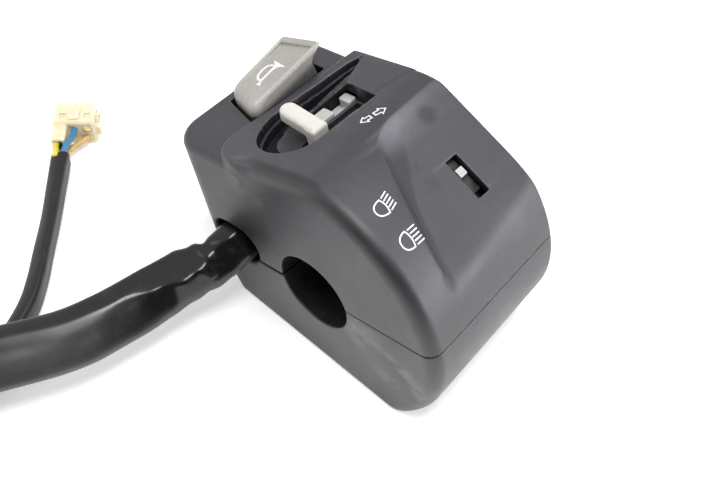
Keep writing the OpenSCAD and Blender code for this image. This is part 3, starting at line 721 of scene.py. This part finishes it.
def tongue(x, y, z):
    c, s = math.cos(math.radians(9)), math.sin(math.radians(9))
    px, py, pz = x + 4.95, (y - 7.0) * c + (z - 34.9) * s, -(y - 7.0) * s + (z - 34.9) * c
    tip = np.sqrt(px ** 2 + np.maximum(py - 9.3, 0.0) ** 2) - 2.4
    tip = np.where(py < 9.3, np.abs(px) - 2.4, tip)
    plate = rmax(rmax(tip, -1.2 - py, 0.6), np.abs(pz) - 1.9, 1.2)
    block = rbox(x, y, z, (-7.35, 5.7, 30.15), (-2.55, 9.1, 36.2), 0.7)
    stem = rbox(x, y, z, (-6.98, 5.02, 26.8), (-3.02, 8.98, 31.3), 0.15)
    return np.minimum(rmin(plate, block, 0.5), stem)


def carriage(x, y, z):
    b = rbox(x, y, z, (-9.3, 3.2, 26.5), (12.3, 16.0, 29.0), 0.35)
    for lo, hi in (((0, 11.5, 27), (4.6, 15.4, 32.1)), ((9.4, 11.5, 27), (12.2, 15.4, 31.7)), ((-8.2, 4, 27), (-1.8, 10, 30.1))):
        b = rmin(b, rbox(x, y, z, lo, hi, 0.6), 0.5)
    b = rmax(b, -rbox(x, y, z, (-7, 5, 20), (-3, 9, 40)), 0.1)
    return np.maximum(b, -post(x, y, z, 2.3, 13.45, 1.4, 25.5, 31.1))


def beam_slide(x, y, z):
    b = rbox(x, y, z, (-4.8, -4, -5), (4.8, 8, -2.8), 0.3)
    b = rmin(b, rbox(x, y, z, (-1.15, 0.65, -3.4), (1.15, 2.95, -0.7), 0.22), 0.2)
    return np.maximum(b, -np.maximum(np.sqrt((y - 5) ** 2 + (z + 3.9) ** 2) - 0.95, 0.6 - x))


def of_slope(p):
    p = np.asarray(p, float)
    return row(np.stack([p[..., 0] + 11.0, p[..., 1] * CA - p[..., 2] * SA - 24.0, p[..., 1] * SA + p[..., 2] * CA + 22.8], -1))


PLUG = math.radians(43.5)


def of_plug(p):
    p = np.asarray(p, float)
    c, s = math.cos(PLUG), math.sin(PLUG)
    return np.stack([p[..., 0] * c - p[..., 1] * s - 30.4, p[..., 0] * s + p[..., 1] * c + 96.6, p[..., 2] - 25.5], -1) * MM


def plug(x, y, z):
    b = rbox(x, y, z, (9.4, -8.8, 0.0), (17.5, 2.8, 8.8), 0.55)
    lobe = rbox(x, y, z, (3.4, -1.2, 0.3), (11, 3.0, 8.4), 0.9)
    lobe = rmax(lobe, -rbox(x, y, z, (2, -0.3, 1.2), (9.0, 2.1, 7.5), 0.4), 0.2)
    b = rmin(b, lobe, 0.4)
    b = rmax(b, -np.maximum(np.abs(z - 4.4) - 0.55, 13.0 - x), 0.12)
    for yy in (-8.8, 2.8):
        b = rmax(b, -rbox(x, y, z, (13.4, yy - 0.45, 1.4), (16.6, yy + 0.45, 7.4), 0.2), 0.12)
    for c in (-1, 1):
        b = rmax(b, -rbox(x, y, z, (11.8, -3 + 3.6 * c - 1.0, 8.2), (13.6, -3 + 3.6 * c + 1.0, 10), 0.1), 0.12)
    b = rmin(b, rbox(x, y, z, (9.9, -9.2, 0.35), (11.0, 3.2, 9.1), 0.3), 0.25)
    arm = rbox(x, y, z, (10.1, -10.6, 3.0), (16.1, -9.8, 6.4), 0.3)
    root = rbox(x, y, z, (10.1, -10.6, 3.0), (11.8, -8.4, 6.4), 0.3)
    hook = rbox(x, y, z, (14.9, -10.6, 3.0), (16.1, -9.3, 6.4), 0.25)
    b = np.minimum(np.minimum(b, rmin(arm, root, 0.3)), hook)
    b = rmin(b, rbox(x, y, z, (10.5, -4.5, 8.4), (15.5, -1.5, 9.9), 0.4), 0.3)
    for c in (-1, 1):
        for d in (-1, 1):
            hole = np.sqrt((y + 3 - 3.6 * c) ** 2 + (z - 4.4 - 1.7 * d) ** 2)
            b = rmax(b, -np.maximum(hole - 1.45, 9.5 - x), 0.15)
            b = rmax(b, -np.maximum(hole - 1.0, np.maximum(x - 9.8, 8.8 - x)), 0.2)
    return rmax(b, -np.maximum(np.sqrt((y + 3) ** 2 + (z - 6.1) ** 2) - 1.0, x - 10.6), 0.2)


def near_band(v, g):
    """Painted dark reflection on the rounded edge between the near end and the turned front."""
    t = np.clip(-g[:, 0], 0.0, 1.0)
    up = step(v[:, 2], -14.0, 2.0)
    return np.clip(4.6 * t * (1.0 - t), 0.0, 1.0) * step(-v[:, 0], 19.2, 20.6) * step(np.hypot(v[:, 1], v[:, 2]), 31.0, 33.5) * step(-v[:, 1], -16.0, -8.0) * (0.35 + 0.65 * up)


def scoop_sheen(v):
    """Painted sheen in the scoop: a painted reflection in the turn between the scoop's floor and its head, most at the
    near corner, and a painted highlight along the foot.
    """
    x, y, z = v.T
    yf, base, side, head = scoop_sides(x, y, z)
    on = 1.0 - step(np.abs(scoop(x, y, z)), 0.4, 1.0)
    turn = (1.0 - step(head, 1.2, 6.0)) * (1.0 - step(base, 1.8, 4.6)) * step(yf, -2.0, 3.0)
    foot = (1.0 - step(np.abs(outside(x, y, z)), 0.15, 0.9)) * (1.0 - step(np.abs(base), 0.15, 0.9)) * step(-yf, 6.0, 12.0) * step(side, 0.5, 2.0)
    return np.maximum(on * turn * (0.5 + 0.5 * (1.0 - step(side, 3.0, 12.0))), 0.45 * foot)


def key_skin(x, y, z):
    """Painted shade on the horn key: its sides are painted darker down into the gap round it."""
    fall = np.maximum(0.85 * step(-key_top(x, y, z), 1.8, 4.8), step(-z, -32.3, -31.2))
    return -0.15 - 0.6 * fall


def pin_skin(x, y, z):
    """Painted shade: all of the beam slider but its pin is painted dark, as the shade of its slot."""
    return (z + 1.9) * 1.2 + 0.0 * x


shell_up = solid("housing_upper", upper_half, (-24.6, -39.6, -0.6), (24.6, 43.6, 40.0), FINE, row, 190000, 0.3, scooped, 30.4, near_band, scoop_sheen)
shell_low = solid("housing_lower", lower_half, (-24.6, -39.6, -37.5), (24.6, 43.6, 0.6), FINE, row, 190000, 0.3, lower_skin, None, near_band)
horn_key = solid("horn_key", key, (-8.6, 27.3, 23.8), (19.1, 40.8, 40.0), 0.25, row, 90000, 0.3, key_skin)
lever = solid("turn_tongue", tongue, (-8.0, 3.6, 26.2), (-1.2, 19.7, 39.4), 0.18, row, 50000)
slide_turn = solid("turn_carriage", carriage, (-9.9, 2.6, 25.0), (12.9, 16.6, 32.8), 0.22, row, 60000)
slide_beam = solid("beam_carriage", beam_slide, (-5.4, -4.6, -5.6), (5.4, 8.6, -0.1), 0.18, of_slope, 40000, 0.3, pin_skin)
nylon_plug = solid("lead_plug", plug, (2.8, -11.2, -0.6), (18.1, 3.8, 10.5), 0.18, of_plug, 90000)


# ---------------------------------------------------------------- leads between the sleeve and the plug
def tube_mesh(name, pts, r, n=20, cap=True):
    q, _ = smooth(np.asarray(pts, float), 10)
    d = np.gradient(q, axis=0)
    d /= np.linalg.norm(d, axis=1)[:, None]
    s = np.cross(d, [0.0, 0.2, 1.0])
    s /= np.linalg.norm(s, axis=1)[:, None]
    u = np.cross(s, d)
    a = np.linspace(0, 2 * np.pi, n, endpoint=False)
    wob = 1 + 0.03 * np.sin(np.arange(len(q))[:, None] * 0.9 + a[None] * 2)
    ring = q[:, None] + r * wob[..., None] * (np.cos(a)[None, :, None] * s[:, None] + np.sin(a)[None, :, None] * u[:, None])
    i = np.arange(len(q) * n).reshape(-1, n)
    j = np.roll(i, -1, 1)
    f = np.stack([i[:-1], j[:-1], j[1:], i[1:]], -1).reshape(-1, 4)
    k = len(q) * n
    v = np.concatenate([ring.reshape(-1, 3), q[:1], q[-1:]])
    faces = [list(map(int, t)) for t in f] + [[int(j[0, m]), int(i[0, m]), k] for m in range(n)] + [[int(i[-1, m]), int(j[-1, m]), k + 1] for m in range(n)]
    me = bpy.data.meshes.new(name)
    me.from_pydata(of_plug(v).tolist(), [], faces)
    me.validate()
    me.polygons.foreach_set("use_smooth", np.ones(len(me.polygons), bool))
    return link(bpy.data.objects.new(name, me))


LEADS = {
    "blue": [(-1.2, -1.0, 6.2), (0.7, -1.1, 6.3), (3, -1.6, 6.6), (5.4, -2.4, 6.4), (7.6, -2.9, 6.1), (10.2, -3.0, 6.1)],
    "green": [(-1.2, 1.0, 4.2), (0.7, 1.1, 4.1), (3, 1.5, 3.6), (5.4, 1.0, 2.9), (7.1, 0.7, 2.7), (9.6, 0.6, 2.7)],
    "yellow": [(-1.2, 1.0, 6.2), (0.7, 1.1, 6.3), (3, 1.5, 6.5), (5.4, 1.0, 6.2), (7.1, 0.7, 6.1), (9.6, 0.6, 6.1)],
    "orange": [(-1.2, -1.0, 4.2), (0.7, -1.1, 4.1), (3.4, -1.5, 3.4), (6.4, -3.4, 2.6), (8.6, -5.8, 2.6), (10.2, -6.6, 2.7)]}
leads = {k: tube_mesh("lead_wire_" + k, way, 0.9) for k, way in LEADS.items()}


# ---------------------------------------------------------------- printed pictograms
def on_front(p):
    t = p[:, 1] / 38.0
    r = 38.0 - p[:, 0] / 15
    for _ in range(5):
        r = r - outside(p[:, 0], -np.cos(t) * r, np.sin(t) * r)
    return np.stack([p[:, 0], -np.cos(t) * r, np.sin(t) * r], 1)


def on_top(f, guess):
    def put(p):
        z = guess(p[:, 0], p[:, 1])
        for _ in range(8):
            z = z - 0.9 * f(p[:, 0], p[:, 1], z)
        return np.stack([p[:, 0], p[:, 1], z], 1)
    return put


def stroke(pts, width, closed=False):
    """Left and right edges of a line with mitred corners, cut into short steps."""
    p = np.asarray(pts, float)
    w = np.broadcast_to(np.asarray(width, float) / 2, (len(p),))
    e = np.roll(p, -1, 0) - p
    e /= np.maximum(np.linalg.norm(e, axis=1), 1e-9)[:, None]
    n = np.stack([-e[:, 1], e[:, 0]], 1)
    before = np.roll(n, 1, 0)
    if not closed:
        n[-1], before[0] = n[-2], n[0]
    m = n + before
    m /= np.maximum((m * n).sum(1), 0.5)[:, None]
    le, ri = p + m * w[:, None], p - m * w[:, None]
    if closed:
        le, ri = np.vstack([le, le[:1]]), np.vstack([ri, ri[:1]])
    out = []
    for i in range(len(le) - 1):
        k = max(1, int(math.ceil(np.linalg.norm(le[i + 1] - le[i]) / 0.25)))
        for t in np.arange(k) / k:
            out.append((le[i] * (1 - t) + le[i + 1] * t, ri[i] * (1 - t) + ri[i + 1] * t))
    if not closed:
        out.append((le[-1], ri[-1]))
    return np.array(out), closed


def print_on(name, strokes, put, f, proud=0.035, sunk=0.06):
    verts, faces, at = [], [], 0
    for edge, closed in strokes:
        cols = []
        for s, rise in ((0, proud), (0.5, proud), (1, proud), (1, -sunk), (0, -sunk)):
            q = put(edge[:, 0] * (1 - s) + edge[:, 1] * s)
            g = slope(f, q, 0.05)
            cols.append(q + g / np.linalg.norm(g, axis=1)[:, None] * rise)
        v = np.stack(cols, 1)
        k, c = v.shape[:2]
        ids = at + np.arange(k * c).reshape(k, c)
        for i in range(k if closed else k - 1):
            a, b = ids[i], ids[(i + 1) % k]
            for j in range(c):
                faces.append([int(a[j]), int(a[(j + 1) % c]), int(b[(j + 1) % c]), int(b[j])])
        if not closed:
            faces += [[int(t) for t in ids[0][::-1]], [int(t) for t in ids[-1]]]
        verts.append(v.reshape(-1, 3))
        at += k * c
    me = bpy.data.meshes.new(name)
    me.from_pydata(row(np.concatenate(verts)).tolist(), [], faces)
    me.validate()
    bm = bmesh.new()
    bm.from_mesh(me)
    bmesh.ops.recalc_face_normals(bm, faces=bm.faces)
    bm.to_mesh(me)
    bm.free()
    return link(bpy.data.objects.new(name, me))


def lamp(cx, cy, a, b, ray0, ray1, rise, first, last):
    ph = np.linspace(-math.pi / 2, math.pi / 2, 25)
    c, s = np.cos(ph), np.sin(ph)
    back = [(cx - a * abs(u) ** 0.86, cy + b * math.copysign(abs(v) ** 0.86, v)) for u, v in zip(c, s)]
    lens = [(cx + 0.42 * (1 - t * t), cy + b * t) for t in np.linspace(0.8, -0.8, 7)]
    rays = [stroke([(ray0, y), (ray1, y + rise)], 0.31) for y in np.linspace(first, last, 5)]
    return [stroke(back + lens, 0.35, True)] + rays


def arrow(tail, tip):
    t, p = np.array(tail, float), np.array(tip, float)
    e = (p - t) / np.linalg.norm(p - t)
    n = np.array([-e[1], e[0]])
    neck = p - e * 1.55
    return stroke([t + n * 0.62, neck + n * 0.62, neck + n * 1.36, p, neck - n * 1.36, neck - n * 0.62, t - n * 0.62], 0.34, True)


marks = [
    print_on("mark_dip", lamp(-13.73, 36.37, 2.85, 1.78, -13.05, -10.88, 0.62, 38.19, 34.77), on_front, outside),
    print_on("mark_main", lamp(-14.26, 27.48, 2.72, 2.02, -13.5, -11.15, 0.0, 29.3, 25.5), on_front, outside),
    print_on("mark_turn", [arrow((3.4, -3.2), (0.5, -2.8)), arrow((4.6, -3.3), (7.7, -4.0))], on_top(outside, lambda x, y: 37.2 - 0.154 * y), outside)]
HORN = [
    stroke([(-0.6, 33.0), (-0.2, 33.05), (0.2, 33.15), (1.2, 33.4)], [1.5, 1.1, 0.6, 0.55]),
    stroke([(1.0, 33.4), (3.0, 33.65), (5.2, 33.9), (6.2, 33.95), (6.9, 33.97), (7.5, 33.93), (8.15, 33.87)], [0.62, 0.62, 0.66, 0.85, 1.4, 2.6, 4.6]),
    stroke([(1.15, 33.5), (0.95, 34.4), (1.5, 35.3), (2.6, 35.95), (4.4, 36.3), (5.9, 36.15), (6.7, 35.5), (6.9, 34.4)], 0.54)]
horn_top = on_top(key, lambda x, y: 34.4 + 0.09 * (x + 8))
mark_horn = print_on("mark_horn", HORN, horn_top, key)


# ---------------------------------------------------------------- finishes
def marks_and_painted_light(m, p, col):
    """Hand marks on the housing: a dark rub and a smear in the scoop and pale blotches of wear on the near end; and
    painted light and shade: the lower near end painted paler for the floor it reflects, a painted sheen in the scoop, a
    painted dark reflection along the near edge and painted shade round the lead.
    """
    def spot(at, full, none):
        d = m.add("VectorMath", {"operation": "DISTANCE"}, **{"#0": p, "#1": tuple(row(at))}).outputs["Value"]
        return m.remap(d, full * MM, none * MM, 1.0, 0.0)
    rub = m.math("MULTIPLY", spot((14.6, -10.3, 32.8), 1.3, 3.2), m.remap(m.noise(p, 900, 3), 0.3, 0.55, 0.5, 1.0))
    blot = m.remap(m.noise(p, 150, 5, 0.6, (1.0, 0.7, 1.0)), 0.42, 0.62, 0.0, 1.0)
    pale = m.math("MAXIMUM", spot((-24, -15.5, -5.5), 2.0, 8.0), m.math("MAXIMUM", spot((-24, -26, -15), 3.0, 11.0), spot((-23, 15, 28.5), 2.0, 8.0)))
    # painted reflection of the floor: the lower near end painted paler
    col = m.mix(m.math("MULTIPLY", spot((-24, -6, -18), 6.0, 20.0), 0.22), col, (0.13, 0.127, 0.124))
    col = m.mix(m.math("MULTIPLY", m.math("MULTIPLY", pale, blot), 0.9), col, (0.160, 0.156, 0.152))
    # painted sheen: a painted reflection in the scoop's turn and a painted highlight along its foot
    sheen = m.math("MULTIPLY", m.attr("sheen"), m.remap(m.noise(p, 90, 4), 0.25, 0.65, 0.45, 1.0))
    col = m.mix(m.math("MULTIPLY", sheen, 0.85), col, (0.135, 0.134, 0.152))
    col = m.mix(m.math("MULTIPLY", rub, 0.95), col, (0.006, 0.006, 0.007))
    smear = m.math("MULTIPLY", m.math("MAXIMUM", spot((2.6, -16.2, 28.4), 0.5, 3.4), spot((2.3, -20.5, 25.0), 0.5, 3.4)), m.remap(m.noise(p, 420, 4, 0.6), 0.4, 0.62, 0.0, 1.0))
    col = m.mix(m.math("MULTIPLY", smear, 0.7), col, (0.009, 0.009, 0.010))
    # painted dark reflection along the near edge's rounded band
    band = m.math("MULTIPLY", m.attr("band"), m.remap(m.noise(p, 120, 4), 0.25, 0.6, 0.6, 1.0))
    col = m.mix(m.math("MULTIPLY", band, 0.8), col, (0.007, 0.0066, 0.0078))
    # painted shade round the lead's mouth, darkest above it
    mouth_shade = m.math("MULTIPLY", m.math("MAXIMUM", spot((-24, 22.5, 11.5), 3.2, 8.8), spot((-24, 14.5, 11.5), 1.0, 7.0)), m.remap(m.noise(p, 160, 4), 0.25, 0.6, 0.75, 1.0))
    return m.mix(m.math("MULTIPLY", mouth_shade, 0.95), col, (0.007, 0.0065, 0.008))


# the last colour of each finish is its painted shade, in hollows, gaps and the bore
black = moulded("housing_black", (0.0225, 0.0218, 0.0272), (0.032, 0.0312, 0.0382), (0.40, 0.52), 0.3, (0.080, 0.079, 0.085), 0.2, 1.0, marks_and_painted_light, (0.011, 0.010, 0.0125))
black.set(IOR=1.58)
grey = moulded("key_grey", (0.27, 0.255, 0.236), (0.32, 0.305, 0.283), (0.36, 0.48), 0.25, (0.42, 0.405, 0.383), 0.1, 1.0, None, (0.03, 0.029, 0.028))
white = moulded("slider_white", (0.53, 0.508, 0.462), (0.60, 0.58, 0.54), (0.28, 0.42), 0.2, (0.70, 0.68, 0.64), 0.0)
# painted shade: a greyer copy of the white plastic for the carriage, as it lies in shade down its recess
lug_white_shaded = moulded("carriage_white_shaded", (0.36, 0.355, 0.345), (0.42, 0.415, 0.405), (0.32, 0.46), 0.2, (0.55, 0.545, 0.53), 0.0)
# painted shade: a greyer copy of the white plastic for the beam slider, as it lies in its slot's shade
pin_white_shaded = moulded("slider_white_shaded", (0.34, 0.34, 0.335), (0.42, 0.42, 0.41), (0.32, 0.46), 0.2, (0.52, 0.52, 0.51), 0.0, 1.0, None, (0.018, 0.018, 0.019))
white.set(Subsurface_Weight=0.12, Subsurface_Radius=(1.0, 0.9, 0.75), Subsurface_Scale=0.0008)
steel = metal("zinc_steel", (0.62, 0.63, 0.65))
brass = metal("contact_brass", (0.78, 0.58, 0.27), 0.3)

board = Nodes("phenolic_board")
p = board.spot()
grain = board.noise(p, 1.0, 4, 0.6, (600, 600, 5200))
board.set(Base_Color=board.mix(board.remap(grain, 0.3, 0.7, 0.0, 1.0), (0.030, 0.018, 0.011), (0.060, 0.036, 0.021)),
          Roughness=board.remap(board.noise(p, 300), 0.3, 0.7, 0.38, 0.6), Normal=board.bump(grain, 0.2, 0.00004))

vinyl = Nodes("sleeve_vinyl")
p = vinyl.spot()
dust = vinyl.noise(p, 240, 5, 0.65)
film = vinyl.noise(p, 60, 4, 0.6)
fine = vinyl.noise(p, 1500, 3, 0.55)
crease = vinyl.noise(p, 110, 3, 0.5)
tint = vinyl.mix(vinyl.remap(dust, 0.55, 0.8, 0.0, 0.5), (0.008, 0.008, 0.009), (0.03, 0.03, 0.033))
# painted reflection of the floor on the side turned to the table
floor_reflection = vinyl.math("MULTIPLY", vinyl.attr("under"), vinyl.remap(film, 0.3, 0.65, 0.65, 1.0))
vinyl.set(Base_Color=vinyl.mix(floor_reflection, tint, (0.072, 0.071, 0.075)),
          Roughness=vinyl.math("ADD", vinyl.remap(film, 0.3, 0.7, 0.14, 0.24), vinyl.math("MULTIPLY", vinyl.attr("dull"), 0.28)),
          Normal=vinyl.bump(fine, 0.08, 0.00003, vinyl.bump(crease, 0.25, 0.0004)), IOR=1.46)


def wire(name, colour, stripe=None):
    m = Nodes(name)
    p = m.spot()
    col = m.mix(m.remap(m.noise(p, 500, 4), 0.35, 0.7, 0.0, 1.0), tuple(c * 0.75 for c in colour), colour)
    if stripe is not None:
        col = m.mix(m.remap(m.noise(p, 260, 2, 0.4), 0.53, 0.58, 0.0, 1.0), col, stripe)
    m.set(Base_Color=col, Roughness=m.remap(m.noise(p, 900, 3), 0.3, 0.7, 0.28, 0.45), Normal=m.bump(m.noise(p, 2200, 2), 0.1, 0.00003))
    return m


wires = {"blue": wire("wire_blue", (0.05, 0.24, 0.44)), "green": wire("wire_green", (0.10, 0.36, 0.06)),
         "yellow": wire("wire_yellow", (0.80, 0.62, 0.08)), "orange": wire("wire_orange", (0.74, 0.50, 0.20))}

nylon = Nodes("plug_nylon")
p = nylon.spot()
cloud = nylon.noise(p, 160, 4, 0.6)
# edges painted paler: part wear, part painted highlight
edge_wear_and_highlight = nylon.math("MULTIPLY", nylon.remap(nylon.attr("edge"), 0.25, 0.9, 0.0, 1.0), 0.8)
tan = nylon.mix(nylon.remap(cloud, 0.3, 0.7, 0.0, 1.0), (0.74, 0.62, 0.38), (0.84, 0.76, 0.56))
nylon.set(Base_Color=nylon.mix(edge_wear_and_highlight, tan, (0.93, 0.89, 0.76)), Roughness=nylon.remap(nylon.noise(p, 420, 4), 0.3, 0.7, 0.24, 0.42),
          Normal=nylon.bump(nylon.noise(p, 1800, 3), 0.15, 0.00004), Subsurface_Weight=0.5, Subsurface_Radius=(1.0, 0.85, 0.55), Subsurface_Scale=0.003)

ink = Nodes("print_white")
p = ink.spot()
ink.set(Base_Color=ink.mix(ink.remap(ink.noise(p, 1600, 3), 0.35, 0.62, 0.0, 1.0), (0.62, 0.62, 0.62), (0.86, 0.86, 0.86)),
        Roughness=ink.remap(ink.noise(p, 800, 3), 0.3, 0.7, 0.4, 0.6), Normal=ink.bump(ink.noise(p, 2600, 2), 0.2, 0.00004))

dress(shell_up, black), dress(shell_low, black), dress(horn_key, grey)
dress(lever, white), dress(slide_turn, lug_white_shaded), dress(slide_beam, pin_white_shaded)
dress(sleeve, vinyl), dress(nylon_plug, nylon)
for k, ob in leads.items():
    dress(ob, wires[k])
for ob in marks + [mark_horn]:
    dress(ob, ink)
LOOK = {"steel": steel, "brass": brass, "phenolic": board, "wire_blue": wires["blue"]}
for part in frame["record"]["subparts"]:
    if part["material_slot"] in LOOK:
        dress(NODE[part["node"]], LOOK[part["material_slot"]])

# the horn key's return spring, with closed ends, standing on the base
def spring(name, at, radius, wire_r, height, turns):
    n, k = turns * 32, 10
    t = np.linspace(0, turns, n + 1)
    z = np.interp(t, [0, 1, turns - 1, turns], [0, 2.5 * wire_r, height - 2.5 * wire_r, height])
    a, b = 2 * math.pi * t[:, None], np.linspace(0, 2 * math.pi, k, endpoint=False)[None, :]
    out = radius + wire_r * np.cos(b)
    ring = np.stack([at[0] + out * np.cos(a), at[1] + out * np.sin(a), at[2] + z[:, None] + wire_r * np.sin(b)], -1)
    i = np.arange((n + 1) * k).reshape(n + 1, k)
    j = np.roll(i, -1, 1)
    quads = np.stack([i[:-1], i[1:], j[1:], j[:-1]], -1).reshape(-1, 4)
    mesh = bpy.data.meshes.new(name)
    mesh.from_pydata(row(ring.reshape(-1, 3)).tolist(), [], [list(map(int, q)) for q in quads] + [list(map(int, i[0])), list(map(int, i[-1][::-1]))])
    mesh.validate()
    mesh.polygons.foreach_set("use_smooth", np.ones(len(mesh.polygons), bool))
    return link(bpy.data.objects.new(name, mesh))


return_spring = dress(spring("horn_return_spring", (6.5, 34.7, 18.45), 2.2, 0.35, 14.9, 7), steel)
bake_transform(return_spring)
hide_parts("horn_spring")

# ---------------------------------------------------------------- what rides on what
for ob, body, slot_name, nodes in (
        (shell_up, "housing", "housing_plastic", ["upper_housing"]), (shell_low, "housing", "housing_plastic", ["lower_housing"]),
        (horn_key, "horn", "horn_plastic", ["horn_button"]), (lever, "turn", "white_plastic", ["turn_lever"]),
        (slide_turn, "turn", "white_plastic", ["turn_slider"]), (slide_beam, "dimmer", "white_plastic", ["dimmer_slider"]),
        (sleeve, "housing", "sleeve", ["cable_sheath"]), (nylon_plug, "housing", "nylon", ["connector_housing"]), (mark_horn, "horn", "white_plastic", [])):
    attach(ob, body)
    if nodes:
        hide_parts(*nodes)
for ob in marks:
    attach(ob, "housing")
for k, ob in leads.items():
    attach(ob, "housing")
    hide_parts("lead_" + k)

# ---------------------------------------------------------------- floor and light
FLOOR = CAD_BOX[0][2] - 0.00004
fm = bpy.data.meshes.new("floor")
fm.from_pydata([(-4, -4, FLOOR), (4, -4, FLOOR), (4, 4, FLOOR), (-4, 4, FLOOR)], [], [(0, 1, 2, 3)])
floor = link(bpy.data.objects.new("floor", fm))
pale = Nodes("floor_pale")
p = pale.spot()
pale.set(Base_Color=pale.mix(pale.remap(pale.noise(p, 6, 3), 0.3, 0.7, 0.0, 1.0), (0.90, 0.90, 0.89), (0.93, 0.93, 0.92)),
         Roughness=pale.remap(pale.noise(p, 20, 3), 0.3, 0.7, 0.55, 0.7), Emission_Color=(1, 1, 1, 1), Emission_Strength=0.34)
dress(floor, pale)


def panel(name, at, aim, size, power, colour=(1, 1, 1), deep=None):
    """A soft light, round or, with deep, an oval that is size along the bar and deep across it."""
    d = bpy.data.lights.new(name, "AREA")
    d.shape, d.size, d.energy, d.color = "DISK", size, power, colour
    if deep is not None:
        d.shape, d.size_y = "ELLIPSE", deep
    ob = link(bpy.data.objects.new(name, d))
    zc = (Vector(at) - Vector(aim)).normalized()
    xc = (Vector((1, 0, 0)) - zc * zc.x).normalized()
    ob.matrix_world = Matrix.Translation(at) @ Matrix((xc, zc.cross(xc), zc)).transposed().to_4x4()
    return ob


panel("soft_top", (0.0, -0.195, 1.11), (-0.02, 0.02, 0), 0.8, 11.0, deep=0.42)
panel("soft_right", (0.60, -1.20, 0.26), (0, 0, 0), 0.8, 10.0)
panel("soft_front", (0.45, -0.70, 0.61), (0, -0.02, 0), 0.3, 1.5)
panel("soft_back", (-0.80, 0.75, 0.60), (0, 0.02, 0), 0.6, 2.0, (1.0, 0.985, 0.96))

world = bpy.data.worlds.new("studio")
bpy.context.scene.world = world
world.use_nodes = True
wt = world.node_tree
wt.nodes.clear()
wo = wt.nodes.new("ShaderNodeOutputWorld")
bg = wt.nodes.new("ShaderNodeBackground")
co = wt.nodes.new("ShaderNodeTexCoord")
sep = wt.nodes.new("ShaderNodeSeparateXYZ")
rampw = wt.nodes.new("ShaderNodeValToRGB")
wt.links.new(co.outputs["Generated"], sep.inputs[0])
wt.links.new(sep.outputs["Z"], rampw.inputs[0])
el = rampw.color_ramp.elements
el[0].position, el[0].color = 0.02, (0.86, 0.86, 0.87, 1)
el[1].position, el[1].color = 0.30, (0.68, 0.68, 0.695, 1)
end = el.new(0.85)
end.color = (0.86, 0.86, 0.87, 1)
# the room is dimmer on the side that the near end faces
aside = wt.nodes.new("ShaderNodeVectorMath")
aside.operation = "DOT_PRODUCT"
wt.links.new(co.outputs["Generated"], aside.inputs[0])
aside.inputs[1].default_value = (-0.70, -0.65, 0.28)
dimmer = wt.nodes.new("ShaderNodeMapRange")
for i, v in enumerate((0.40, 0.82, 1.0, 0.05)):
    dimmer.inputs[i + 1].default_value = v
wt.links.new(aside.outputs["Value"], dimmer.inputs[0])
wt.links.new(rampw.outputs[0], bg.inputs[0])
wt.links.new(dimmer.outputs[0], bg.inputs[1])
wt.links.new(bg.outputs[0], wo.inputs[0])
bpy.context.scene.view_settings.view_transform = "Standard"
